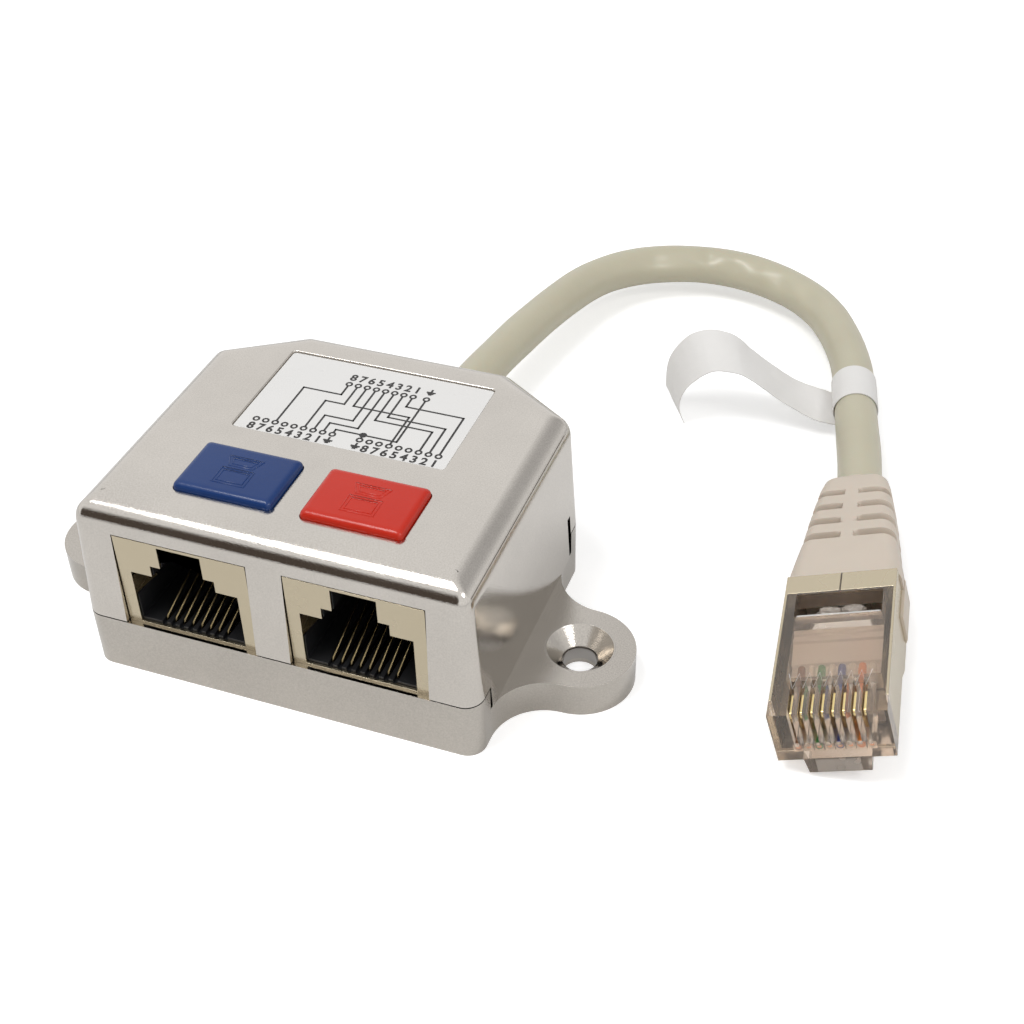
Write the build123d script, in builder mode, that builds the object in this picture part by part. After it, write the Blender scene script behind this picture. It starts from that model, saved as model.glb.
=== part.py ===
from build123d import *
import os
from math import radians, tan

# Socket doubler: a short shielded patch lead feeds two sockets in a plated
# housing with two screw ears. The origin is at the middle of the underside,
# +X runs from the blue socket to the red one, and the sockets face -Y.

# Housing
housing_width = 44.6
housing_depth = 38.0
parting_height = 6.8
draft = 3.0
rear_cut_x = 9.4
rear_cut_y = 6.6
front_corner_radius = 2.0
rear_corner_radius = 2.6
top_edge_radius = 1.5
wall = 1.7
roof = 1.8
floor = 1.6
skirt_front = -15.3
skirt_rear = 9.6
skirt_gap = 0.3
lip_height = 1.0
lip_thickness = 0.9
lip_length = 23.0
line_drop = 1.9
line_size = 0.2
fit_gap = 0.1

# Screw ears
ear_reach = 28.0
ear_position = -4.2
ear_radius = 5.9
ear_thickness = 4.0
screw_hole = 3.8
screw_head = 7.1
screw_head_angle = 90

# Things set into the roof
label_width = 24.5
label_depth = 15.1
label_position = 6.3
label_thickness = 0.15
label_recess = 0.35
insert_width = 11.1
insert_depth = 7.8
insert_spacing = 14.2
insert_position = -9.1
insert_stand = 0.8
insert_seat = 1.0
insert_bevel = 0.5
insert_bevel_drop = 0.3
mark_rise = 0.12
mark_line = 0.28
screen_width = 4.3
screen_height = 1.6
screen_slope = 65
screen_place = 1.35
case_width = 3.6
case_height = 2.8
case_place = -1.15
port_width = 2.0
port_height = 1.3

# Circuit board
board_side_gap = 1.2
board_front = -16.9
board_rear = 5.0
board_thickness = 1.6
rail_spacing = 30.0
rail_width = 2.0
pad_row = 2.5
pad_pitch = 1.27

# Sockets
jack_pitch = 19.1
jack_width = 15.0
jack_height = 11.5
jack_depth = 15.5
jack_set_back = 0.6
jack_headroom = 1.3
jack_sheet = 0.3
window_gap = 0.1
opening_width = 12.2
opening_sill = 0.25
opening_shoulder = 7.05
step_width = 7.3
step_height = 8.45
latch_slot_width = 4.9
latch_slot_height = 11.15
cavity_depth = 12.6
cavity_floor = 0.55
contact_count = 8
contact_pitch = 1.02
contact_thickness = 0.4
contact_wire = 0.3
contact_groove = 0.12
hairpin_front = 0.9
hairpin_depth = 0.5
arm_end = 8.8
arm_rise = 3.1
tail_place = 12.9
tail_length = 2.4
leg_width = 1.6
leg_length = 2.4
leg_places = (5.0, 11.0)
spring_height = 2.4
spring_reach = 3.4
spring_bow = 0.6
spring_thickness = 0.2
spring_drop = 1.8
spring_pocket = 1.4

# Cable
cable_diameter = 5.2
cable_height = parting_height
cable_corners = (
    (0, 27.3, cable_height),
    (3.2, 52.9, 5.9),
    (8.2, 70.3, 4.9),
    (22.9, 77.3, 4.3),
    (37.2, 72.4, 4.0),
    (44.6, 59.7, 4.0),
    (47.6, 46.1, 4.1),
)
cable_run_out = 4.3
bend_share = 0.45
ring_diameter = 7.4
ring_length = 2.0
rib_thickness = 1.2
cradle_width = 9.6
core_diameter = 0.85
core_sides = 8
core_rows = (0.45, 1.65)

# Plug, measured from the top of its nose: x across, y towards the cable, z up
plug_nose = (54.49, -10.12, 9.1)
plug_heading = 6.6
plug_tilt = -1.5
plug_roll = -16.8
plug_width = 11.6
plug_length = 21.4
plug_height = 6.0
plug_rear_height = 7.0
step_front = 11.0
step_rear = 13.0
plug_axis = -3.7
plug_sheet = 0.3
shell_front = 2.2
band_front = 18.5
band_seam = 0.12
blade_thickness = 0.34
blade_slot = 0.44
blade_front = 0.5
blade_rear = 4.7
blade_sink = 0.5
blade_corner = 0.4
core_row = -4.7
core_front = 0.6
tunnel_width = 9.4
tunnel_top = -1.9
tunnel_bottom = -5.5
tunnel_front = 6.5
pocket_front = 14.6
pocket_rear = 18.2
pocket_width = 9.0
bar_front = 8.6
bar_rear = 13.8
bundle_front = 14.4
bundle_middle = 18.6
bundle_spread = 8.2
bundle_flat = 1.8
bundle_row = -4.4
bundle_width = 4.8
bundle_height = 3.0
bundle_corner = 0.8
latch_width = 6.7
latch_low_width = 6.0
latch_tip_width = 3.4
latch_front = 0.2
latch_depth = 2.45
latch_thickness = 0.9
latch_shoulder = 8.0
latch_rear = 15.0
latch_rise = 0.5
latch_root = 1.8
latch_arm_start = 2.4
latch_sink = 0.15
latch_window = 7.8

# Boot
boot_end = 40.3
boot_bore_floor = 38.8
boot_corner = 1.6
boot_sections = (
    (plug_length, 11.9, 7.3),
    (27.0, 12.0, 7.3),
    (32.0, 11.1, 7.2),
    (37.8, 9.5, 7.0),
    (39.6, 8.4, 6.8),
    (boot_end, 6.6, 5.9),
)
boot_slots = (28.4, 31.1, 33.8, 36.5)
boot_slot_width = 0.85
boot_slot_depth = 1.3
boot_spine = 1.9
guard_front = 17.0
guard_rear = 23.0
guard_top = -3.0
guard_wall = 0.3
guard_corner = 1.4

# Paper tag: a band round the cable with a curling flag, drawn looking along the cable
tag_width = 6.2
tag_thickness = 0.15
tag_slack = 0.1
tag_place = 0.7
tag_curl_radius = 3.0
tag_curl = (
    (0.7, -2.72),
    (5.2, -1.5),
    (15.3, 6.1),
    (20.2, 6.1),
    (23.3, 1.5),
    (22.4, -3.3),
)

housing_height = parting_height + jack_height + jack_headroom + roof
board_width = housing_width - 2 * wall - 2 * board_side_gap
half_width = housing_width / 2
half_depth = housing_depth / 2
board_top = parting_height
jack_front = -half_depth + jack_set_back
cable_radius = cable_diameter / 2
roof_inside = housing_height - roof


def lean(height):
    """How far a drafted wall has moved in, this far above the parting line."""
    return height * tan(radians(draft))


def contact_offsets(pitch=contact_pitch):
    """Places of the eight contacts, cores or pads in a centred row."""
    first = -pitch * (contact_count - 1) / 2
    return [first + pitch * number for number in range(contact_count)]


os.makedirs("parts", exist_ok=True)


def finish(builder, name):
    """Name a finished piece and write it out."""
    builder.part.label = name
    export_step(builder.part, f"parts/{name}.step")


# Plan of the housing at the parting line: a rectangle with its rear corners cut off
with BuildSketch() as plan:
    with BuildLine():
        Polyline(
            (-half_width, -half_depth),
            (half_width, -half_depth),
            (half_width, half_depth - rear_cut_y),
            (half_width - rear_cut_x, half_depth),
            (-half_width + rear_cut_x, half_depth),
            (-half_width, half_depth - rear_cut_y),
            close=True,
        )
    make_face()
    fillet(plan.vertices().group_by(Axis.Y)[0], front_corner_radius)
    fillet(plan.vertices().filter_by(lambda corner: corner.Y > 0), rear_corner_radius)

# Frames on the front and the rear wall: local y runs up, and a minus goes into the housing
front_frame = Plane(origin=(0, -half_depth, 0), x_dir=(1, 0, 0), z_dir=(0, -1, 0))
rear_frame = Plane(origin=(0, half_depth, 0), x_dir=(-1, 0, 0), z_dir=(0, 1, 0))

# The clamping ring stands clear of the cover's leaning wall, and the cable ends inside the cradle's rib
ring_set_back = wall + lean(ring_diameter)
cable_start = half_depth - ring_set_back - ring_length - rib_thickness

# Base: tray with the two ears, rails for the board, a locating lip and a cradle for the cable
skirt_middle = (skirt_rear + skirt_front) / 2
skirt_length = skirt_rear - skirt_front
neck_radius = ear_reach - half_width
neck_offset = ear_radius + neck_radius
rail_height = board_top - board_thickness - floor
with BuildPart() as base:
    with BuildSketch():
        add(plan.sketch)
    extrude(amount=parting_height)
    with BuildSketch():
        with BuildLine():
            front_neck = CenterArc((ear_reach, ear_position - neck_offset), neck_radius, 90, 90)
            CenterArc((ear_reach, ear_position), ear_radius, -90, 180)
            rear_neck = CenterArc((ear_reach, ear_position + neck_offset), neck_radius, 180, 90)
            Polyline(
                rear_neck @ 0,
                (half_width - wall, (rear_neck @ 0).Y),
                (half_width - wall, (front_neck @ 1).Y),
                front_neck @ 1,
            )
        make_face()
        mirror(about=Plane.YZ)
    extrude(amount=ear_thickness)
    with Locations((0, skirt_middle, ear_thickness)):
        Box(
            2 * housing_width,
            skirt_length + 2 * skirt_gap,
            parting_height,
            align=(Align.CENTER, Align.CENTER, Align.MIN),
            mode=Mode.SUBTRACT,
        )
    with BuildSketch(Plane.XY.offset(floor)):
        add(plan.sketch)
        offset(amount=-wall)
    extrude(amount=parting_height, mode=Mode.SUBTRACT)
    with BuildSketch(Plane.XY.offset(floor)):
        with Locations((-rail_spacing / 2, 0), (rail_spacing / 2, 0)):
            Rectangle(rail_width, 2 * board_rear)
    extrude(amount=rail_height)
    with BuildSketch(Plane.XY.offset(parting_height - lip_height)):
        with Locations((0, half_depth - wall - fit_gap)):
            Rectangle(lip_length, lip_thickness, align=(Align.CENTER, Align.MAX))
    extrude(amount=2 * lip_height)
    with BuildSketch(Plane.XY.offset(parting_height - lip_height)):
        with Locations((0, half_depth - wall)):
            Rectangle(lip_length, lip_thickness, align=(Align.CENTER, Align.MAX))
    extrude(amount=lip_height - fit_gap)
    with BuildSketch(Plane.XY.offset(floor)):
        with Locations((0, cable_start)):
            Rectangle(cradle_width, half_depth - wall - cable_start, align=(Align.CENTER, Align.MIN))
    extrude(amount=cable_height - floor)
    with BuildSketch(rear_frame):
        with Locations((0, cable_height)):
            Circle(cable_radius + fit_gap)
    extrude(amount=cable_start - half_depth, mode=Mode.SUBTRACT)
    with BuildSketch(rear_frame.offset(-wall)):
        with Locations((0, cable_height)):
            Circle(ring_diameter / 2 + fit_gap)
    extrude(amount=wall - ring_set_back - ring_length, mode=Mode.SUBTRACT)
    with Locations((-ear_reach, ear_position, ear_thickness), (ear_reach, ear_position, ear_thickness)):
        CounterSinkHole(screw_hole / 2, screw_head / 2, ear_thickness, screw_head_angle)
finish(base, "base")

# Cover: drafted hood with a rounded roof edge, a skirt over each ear, two windows and a cable notch
with BuildPart() as cover:
    with BuildSketch(Plane.XY.offset(ear_thickness)):
        add(plan.sketch)
        offset(amount=lean(parting_height - ear_thickness))
    extrude(amount=housing_height - ear_thickness, taper=draft)
    fillet(cover.faces().sort_by(Axis.Z)[-1].edges(), top_edge_radius)
    with BuildSketch(Plane.XY.offset(ear_thickness)):
        add(plan.sketch)
        offset(amount=lean(parting_height - ear_thickness) - wall)
    extrude(amount=roof_inside - ear_thickness, taper=draft, mode=Mode.SUBTRACT)
    for cut_from, cut_to in ((-housing_depth, skirt_front), (skirt_rear, housing_depth)):
        with Locations((0, cut_from, 0)):
            Box(
                2 * housing_width,
                cut_to - cut_from,
                parting_height,
                align=(Align.CENTER, Align.MIN, Align.MIN),
                mode=Mode.SUBTRACT,
            )
    with BuildSketch(front_frame):
        with Locations((-jack_pitch / 2, 0), (jack_pitch / 2, 0)):
            Rectangle(
                jack_width + 2 * window_gap,
                board_top + jack_height + window_gap,
                align=(Align.CENTER, Align.MIN),
            )
    extrude(amount=-jack_set_back - wall, mode=Mode.SUBTRACT)
    with BuildSketch(rear_frame):
        with Locations((0, cable_height)):
            Circle(cable_radius + fit_gap)
    extrude(amount=-2 * wall, mode=Mode.SUBTRACT)
    with BuildSketch(Plane.XY.offset(housing_height)):
        with Locations((0, label_position)):
            Rectangle(label_width, label_depth)
    extrude(amount=-label_recess, mode=Mode.SUBTRACT)
    with BuildSketch(Plane.XY.offset(housing_height)):
        with Locations((-insert_spacing / 2, insert_position), (insert_spacing / 2, insert_position)):
            Rectangle(insert_width + fit_gap, insert_depth + fit_gap)
    extrude(amount=-insert_seat, mode=Mode.SUBTRACT)
    line_height = housing_height - line_drop
    line_half_width = half_width - lean(line_height - parting_height)
    with Locations((-line_half_width, 0, line_height), (line_half_width, 0, line_height)):
        Box(line_size, 2 * (half_depth - rear_cut_y - rear_corner_radius), line_size, mode=Mode.SUBTRACT)
finish(cover, "cover")

# Diagram label: a plain sheet lying in its shallow recess
with BuildPart() as diagram_label:
    with BuildSketch(Plane.XY.offset(housing_height - label_recess)):
        with Locations((0, label_position)):
            Rectangle(label_width - fit_gap, label_depth - fit_gap)
    extrude(amount=label_thickness)
finish(diagram_label, "diagram_label")


def colour_insert(centre_x):
    """Coloured tile in the roof with a raised mark: a screen over a box with a smaller box in it."""
    seat = Plane.XY.offset(housing_height - insert_seat)
    with BuildPart() as tile:
        with BuildSketch(seat):
            with Locations((centre_x, insert_position)):
                Rectangle(insert_width, insert_depth)
        extrude(amount=insert_seat + insert_stand)
        chamfer(tile.faces().sort_by(Axis.Z)[-1].edges(), insert_bevel_drop, insert_bevel)
        top = Plane(origin=(centre_x, insert_position, housing_height + insert_stand))
        with BuildSketch(top):
            with Locations((0, screen_place)):
                Trapezoid(screen_width, screen_height, screen_slope, rotation=180)
                offset(amount=-mark_line, mode=Mode.SUBTRACT)
            with Locations((0, case_place)):
                Rectangle(case_width, case_height)
                Rectangle(case_width - 2 * mark_line, case_height - 2 * mark_line, mode=Mode.SUBTRACT)
                Rectangle(port_width, port_height)
                Rectangle(port_width - 2 * mark_line, port_height - 2 * mark_line, mode=Mode.SUBTRACT)
        extrude(amount=mark_rise)
    return tile


finish(colour_insert(-insert_spacing / 2), "blue_insert")
finish(colour_insert(insert_spacing / 2), "red_insert")

# Circuit board on its two rails, with holes for the contact tails and the shield legs
jack_centres = (-jack_pitch / 2, jack_pitch / 2)
leg_offset = jack_width / 2 - jack_sheet / 2
with BuildPart() as circuit_board:
    with BuildSketch(Plane.XY.offset(board_top - board_thickness)):
        with Locations((0, board_front)):
            Rectangle(board_width, board_rear - board_front, align=(Align.CENTER, Align.MIN))
        with Locations(
            [(x + dx, jack_front + tail_place) for x in jack_centres for dx in contact_offsets()]
        ):
            Rectangle(contact_thickness + fit_gap, contact_wire + fit_gap, mode=Mode.SUBTRACT)
        with Locations(
            [
                (x + side * leg_offset, jack_front + place)
                for x in jack_centres
                for side in (-1, 1)
                for place in leg_places
            ]
        ):
            Rectangle(jack_sheet + fit_gap, leg_width + fit_gap, mode=Mode.SUBTRACT)
    extrude(amount=board_thickness)
finish(circuit_board, "circuit_board")


def jack_frame(centre_x):
    """Frame on a socket's face, at the middle of its lower edge."""
    return Plane(origin=(centre_x, jack_front, board_top), x_dir=(1, 0, 0), z_dir=(0, -1, 0))


def stepped_opening(sill, spread):
    """Profile of the hole for a plug: wide at the contacts, narrow at the latch."""
    with BuildSketch() as profile:
        with Locations((0, sill)):
            Rectangle(opening_width + spread, opening_shoulder - sill, align=(Align.CENTER, Align.MIN))
            Rectangle(step_width + spread, step_height - sill, align=(Align.CENTER, Align.MIN))
            Rectangle(
                latch_slot_width + spread, latch_slot_height - sill, align=(Align.CENTER, Align.MIN)
            )
    return profile.sketch


def jack_shield(centre_x):
    """Folded sheet-metal can of a socket, open underneath, with legs and two earthing springs."""
    face = jack_frame(centre_x)
    with BuildPart() as shield:
        with BuildSketch(face):
            Rectangle(jack_width, jack_height, align=(Align.CENTER, Align.MIN))
        extrude(amount=-jack_depth)
        with BuildSketch(face.offset(-jack_sheet)):
            Rectangle(
                jack_width - 2 * jack_sheet, jack_height - jack_sheet, align=(Align.CENTER, Align.MIN)
            )
        extrude(amount=-(jack_depth - 2 * jack_sheet), mode=Mode.SUBTRACT)
        with BuildSketch(face):
            add(stepped_opening(opening_sill, 0))
        extrude(amount=-jack_sheet, mode=Mode.SUBTRACT)
        for side in (-1, 1):
            for place in leg_places:
                with Locations((centre_x + side * leg_offset, jack_front + place, board_top)):
                    Box(jack_sheet, leg_width, leg_length, align=(Align.CENTER, Align.CENTER, Align.MAX))
            root = centre_x + side * opening_width / 2
            spring_foot = board_top + opening_shoulder - spring_drop - spring_height / 2
            with BuildSketch(Plane.XY.offset(spring_foot)):
                with BuildLine():
                    Polyline(
                        (root, jack_front),
                        (root - side * spring_bow, jack_front + spring_reach),
                        (root - side * (spring_bow - spring_thickness), jack_front + spring_reach),
                        (root + side * jack_sheet, jack_front + jack_sheet),
                        (root + side * jack_sheet, jack_front),
                        close=True,
                    )
                make_face()
            extrude(amount=spring_height)
    return shield


def jack_body(centre_x):
    """Moulded core of a socket with the plug's cavity and a groove for every contact."""
    face = jack_frame(centre_x)
    core = face.offset(-jack_sheet - fit_gap / 2)
    core_depth = jack_depth - 2 * jack_sheet - fit_gap
    with BuildPart() as body:
        with BuildSketch(core):
            Rectangle(
                jack_width - 2 * jack_sheet - fit_gap,
                jack_height - jack_sheet - fit_gap / 2,
                align=(Align.CENTER, Align.MIN),
            )
        extrude(amount=-core_depth)
        with BuildSketch(face):
            add(stepped_opening(cavity_floor, -fit_gap))
        extrude(amount=-cavity_depth, mode=Mode.SUBTRACT)
        for side in (-1, 1):
            pocket_x = centre_x + side * opening_width / 2
            with Locations((pocket_x, jack_front, board_top + opening_shoulder - spring_drop)):
                Box(
                    spring_pocket,
                    2 * (spring_reach + jack_sheet),
                    spring_height + spring_pocket / 2,
                    mode=Mode.SUBTRACT,
                )
        with Locations(
            [(centre_x + dx, jack_front, board_top + contact_groove) for dx in contact_offsets()]
        ):
            Box(
                contact_thickness + fit_gap,
                tail_place + contact_wire,
                cavity_floor,
                align=(Align.CENTER, Align.MIN, Align.MIN),
                mode=Mode.SUBTRACT,
            )
        with Locations(
            [(centre_x + dx, jack_front + tail_place, board_top) for dx in contact_offsets()]
        ):
            Box(
                contact_thickness + fit_gap,
                contact_wire + fit_gap,
                2 * cavity_floor,
                mode=Mode.SUBTRACT,
            )
    return body


def jack_contacts(centre_x):
    """Eight spring contacts: a tail through the board, a run along the floor and a sprung arm."""
    middle = contact_groove + contact_wire / 2
    with BuildPart() as contacts:
        for dx in contact_offsets():
            side_frame = Plane(
                origin=(centre_x + dx, jack_front, board_top), x_dir=(0, 1, 0), z_dir=(1, 0, 0)
            )
            with BuildSketch(side_frame):
                with BuildLine():
                    Polyline(
                        (tail_place, -tail_length),
                        (tail_place, middle),
                        (hairpin_front + hairpin_depth, middle),
                        (hairpin_front, middle + hairpin_depth),
                        (arm_end, middle + arm_rise),
                    )
                trace(line_width=contact_wire)
            extrude(amount=contact_thickness / 2, both=True)
    return contacts


for name, centre in zip(("left", "right"), jack_centres):
    finish(jack_shield(centre), f"{name}_jack_shield")
    finish(jack_body(centre), f"{name}_jack_body")
    finish(jack_contacts(centre), f"{name}_jack_contacts")


# Clamping ring on the cable, trapped between the rear wall and the cradle's rib
with BuildPart() as cable_ring:
    with BuildSketch(rear_frame.offset(-ring_set_back)):
        with Locations((0, cable_height)):
            Circle(ring_diameter / 2)
            Circle(cable_radius, mode=Mode.SUBTRACT)
    extrude(amount=-ring_length)
finish(cable_ring, "cable_ring")

# Eight cores from the cable's end, in two rows there, to their pads on top of the board
with BuildPart() as board_wires:
    pads = contact_offsets(pad_pitch)
    for pad_x, row_height, column in zip(pads, core_rows * 4, (0, 0, 1, 1, 2, 2, 3, 3)):
        start = Vector((column - 1.5) * contact_pitch, cable_start - fit_gap, cable_height + row_height)
        run = Vector(pad_x, pad_row, board_top + core_diameter / 2) - start
        with BuildSketch(Plane(origin=start, z_dir=run)):
            RegularPolygon(core_diameter / 2, core_sides)
        extrude(amount=run.length)
finish(board_wires, "board_wires")

# Frames of the plug: its top, its side (back and up) and its face (across and up, in with a minus)
plug_across = Vector(1, 0, 0).rotate(Axis.Y, plug_roll).rotate(Axis.X, plug_tilt).rotate(Axis.Z, plug_heading)
plug_up = Vector(0, 0, 1).rotate(Axis.Y, plug_roll).rotate(Axis.X, plug_tilt).rotate(Axis.Z, plug_heading)
plug_top = Plane(origin=plug_nose, x_dir=plug_across, z_dir=plug_up)
plug_side = Plane(origin=plug_nose, x_dir=plug_top.y_dir, z_dir=plug_across)
plug_face = Plane(origin=plug_nose, x_dir=plug_across, z_dir=-plug_top.y_dir)


def bend_radii(points):
    """Arc for every corner, as wide as the shorter of its two runs allows."""
    radii = []
    for before, corner, after in zip(points, points[1:], points[2:]):
        shorter = min((corner - before).length, (after - corner).length)
        half_turn = (corner - before).get_angle(after - corner) / 2
        radii.append(bend_share * shorter / tan(radians(half_turn)))
    return radii


# Cable: straight runs joined by arcs, from the cradle to the floor of the boot's bore
route = [Vector(0, cable_start, cable_height)]
route += [Vector(*corner) for corner in cable_corners]
route += [plug_top.from_local_coords(Vector(0, boot_end + cable_run_out, plug_axis))]
route += [plug_top.from_local_coords(Vector(0, boot_bore_floor, plug_axis))]
radii = bend_radii(route)
print("bend radii", [round(radius, 1) for radius in radii])
with BuildPart() as cable:
    with BuildLine():
        path = FilletPolyline(*route, radius=radii)
    with BuildSketch(Plane(path @ 0, z_dir=path % 0)):
        Circle(cable_radius)
    sweep(path=path)
    print("cable length", round(path.length, 1), "volume", round(cable.part.volume, 1))
finish(cable, "cable")

# Paper tag
tag_run = route[7] - route[6]
tag_frame = Plane(
    origin=route[6] + tag_run * tag_place, x_dir=tag_run.cross(Vector(0, 0, 1)), z_dir=-tag_run
)
with BuildPart() as cable_tag:
    with BuildSketch(tag_frame):
        Circle(cable_radius + tag_slack + tag_thickness)
        with BuildLine():
            FilletPolyline(*tag_curl, radius=tag_curl_radius)
        trace(line_width=tag_thickness)
        Circle(cable_radius + tag_slack, mode=Mode.SUBTRACT)
    extrude(amount=tag_width / 2, both=True)
finish(cable_tag, "cable_tag")


def plug_outline(inset):
    """Side view of the plug, deeper behind its step, drawn in by the given amount above and below."""
    with BuildSketch() as outline:
        with BuildLine():
            Polyline(
                (0, -inset),
                (plug_length, -inset),
                (plug_length, inset - plug_rear_height),
                (step_rear, inset - plug_rear_height),
                (step_front, inset - plug_height),
                (0, inset - plug_height),
                close=True,
            )
        make_face()
    return outline.sketch


# Shield of the plug: side cheeks and a floor with a window for the latch, closed by a band with a seam
with BuildPart() as plug_shield:
    with BuildSketch(plug_side):
        add(plug_outline(0))
    extrude(amount=plug_width / 2, both=True)
    with BuildSketch(plug_side):
        add(plug_outline(plug_sheet))
    extrude(amount=plug_width / 2 - plug_sheet, both=True, mode=Mode.SUBTRACT)
    with BuildSketch(plug_face):
        Rectangle(2 * plug_width, 4 * plug_height)
    extrude(amount=-shell_front, mode=Mode.SUBTRACT)
    with BuildSketch(plug_face):
        Rectangle(plug_width - 2 * plug_sheet, 2 * plug_sheet)
    extrude(amount=-band_front, mode=Mode.SUBTRACT)
    with BuildSketch(plug_face):
        Rectangle(band_seam, 2 * plug_sheet)
    extrude(amount=-plug_length, mode=Mode.SUBTRACT)
    with BuildSketch(plug_face):
        with Locations((0, -plug_rear_height)):
            Rectangle(latch_window, 2 * plug_sheet + 2 * (plug_rear_height - plug_height))
    extrude(amount=-guard_front, mode=Mode.SUBTRACT)
finish(plug_shield, "plug_shield")

# Clear body of the plug with its blade slots, core channels, tunnel, crimp pocket and latch
bar_middle = (tunnel_top + tunnel_bottom) / 2
latch_bottom = -plug_height - latch_depth
with BuildPart() as latch:
    with BuildSketch(plug_side):
        with BuildLine():
            Polyline(
                (latch_front, -plug_height + plug_sheet),
                (latch_front, latch_bottom + latch_thickness / 2),
                (latch_front + latch_thickness / 2, latch_bottom),
                (latch_rear, latch_bottom + latch_rise),
                (latch_rear, latch_bottom + latch_rise + latch_thickness),
                (latch_arm_start, latch_bottom + latch_thickness + latch_sink),
                (latch_front + latch_root, -plug_height + plug_sheet),
                close=True,
            )
        make_face()
    extrude(amount=latch_width, both=True)
    with BuildSketch(plug_face):
        with Locations((0, -plug_height)):
            Rectangle(latch_width, 2 * plug_sheet)
        with BuildLine():
            Polyline(
                (-latch_width / 2, -plug_height),
                (latch_width / 2, -plug_height),
                (latch_low_width / 2, latch_bottom),
                (-latch_low_width / 2, latch_bottom),
                close=True,
            )
        make_face()
    extrude(amount=-latch_rear, mode=Mode.INTERSECT)
    with BuildSketch(plug_face.offset(-latch_shoulder)):
        with Locations((0, -plug_height)):
            Rectangle(2 * latch_width, 4 * latch_depth)
            Rectangle(latch_tip_width, 4 * latch_depth, mode=Mode.SUBTRACT)
    extrude(amount=-latch_rear, mode=Mode.SUBTRACT)
with BuildPart() as plug_body:
    with BuildSketch(plug_side):
        add(plug_outline(0))
    extrude(amount=plug_width / 2, both=True)
    add(plug_shield.part, mode=Mode.SUBTRACT)
    add(latch.part)
    with BuildSketch(plug_face.offset(-tunnel_front)):
        with Locations((0, bar_middle)):
            Rectangle(tunnel_width, tunnel_top - tunnel_bottom)
    extrude(amount=-plug_length, mode=Mode.SUBTRACT)
    with BuildSketch(plug_face.offset(-pocket_front)):
        Rectangle(pocket_width, -2 * bar_middle)
    extrude(amount=pocket_front - pocket_rear, mode=Mode.SUBTRACT)
    with BuildSketch(plug_face):
        with Locations([(dx, core_row + core_diameter / 2) for dx in contact_offsets()]):
            Rectangle(blade_slot, -core_row, align=(Align.CENTER, Align.MIN))
    extrude(amount=-blade_rear - fit_gap, mode=Mode.SUBTRACT)
    with BuildSketch(plug_face.offset(fit_gap - core_front)):
        with Locations([(dx, core_row) for dx in contact_offsets()]):
            Rectangle(core_diameter + fit_gap, core_diameter + fit_gap)
    extrude(amount=-tunnel_front, mode=Mode.SUBTRACT)
finish(plug_body, "plug_body")

# Gold blades standing on the cores
with BuildPart() as plug_contacts:
    for dx in contact_offsets():
        with BuildSketch(plug_side.offset(dx)):
            with BuildLine():
                Polyline(
                    (blade_front, core_row + core_diameter / 2),
                    (blade_front, -blade_sink - blade_corner),
                    (blade_front + blade_corner, -blade_sink),
                    (blade_rear - blade_corner, -blade_sink),
                    (blade_rear, -blade_sink - blade_corner),
                    (blade_rear, core_row + core_diameter / 2),
                    close=True,
                )
            make_face()
        extrude(amount=blade_thickness / 2, both=True)
finish(plug_contacts, "plug_contacts")

# White load bar that holds the cores in a row
with BuildPart() as plug_load_bar:
    with BuildSketch(plug_face.offset(-bar_front)):
        with Locations((0, bar_middle)):
            Rectangle(tunnel_width - fit_gap, tunnel_top - tunnel_bottom - fit_gap)
        with Locations([(dx, core_row) for dx in contact_offsets()]):
            Rectangle(core_diameter, core_diameter, mode=Mode.SUBTRACT)
    extrude(amount=bar_front - bar_rear)
finish(plug_load_bar, "plug_load_bar")

# Eight insulated cores, straight from the blades to the foil-wrapped bundle
for number, dx in enumerate(contact_offsets(), start=1):
    with BuildPart() as core:
        with BuildSketch(plug_face.offset(-core_front)):
            with Locations((dx, core_row)):
                RegularPolygon(core_diameter / 2, core_sides)
        extrude(amount=core_front - bundle_front)
    finish(core, f"plug_core_{number}")

# Foil-wrapped bundle: spread flat behind the load bar, then an oval running back to the cable's end
with BuildPart() as plug_bundle:
    with BuildSketch(plug_face.offset(-bundle_front)):
        with Locations((0, bundle_row)):
            RectangleRounded(bundle_spread, bundle_flat, bundle_corner)
    with BuildSketch(plug_face.offset(-bundle_middle)):
        with Locations((0, plug_axis)):
            RectangleRounded(bundle_width, bundle_height, bundle_corner)
    loft()
    with BuildSketch(plug_face.offset(-bundle_middle)):
        with Locations((0, plug_axis)):
            RectangleRounded(bundle_width, bundle_height, bundle_corner)
    extrude(amount=bundle_middle - boot_bore_floor)
finish(plug_bundle, "plug_bundle")


def boot_width_at(back):
    """Width of the boot this far behind the nose, between its given sections."""
    for (near, near_width, _), (far, far_width, _) in zip(boot_sections, boot_sections[1:]):
        if near <= back <= far:
            return near_width + (far_width - near_width) * (back - near) / (far - near)
    raise ValueError("outside the boot")


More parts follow.
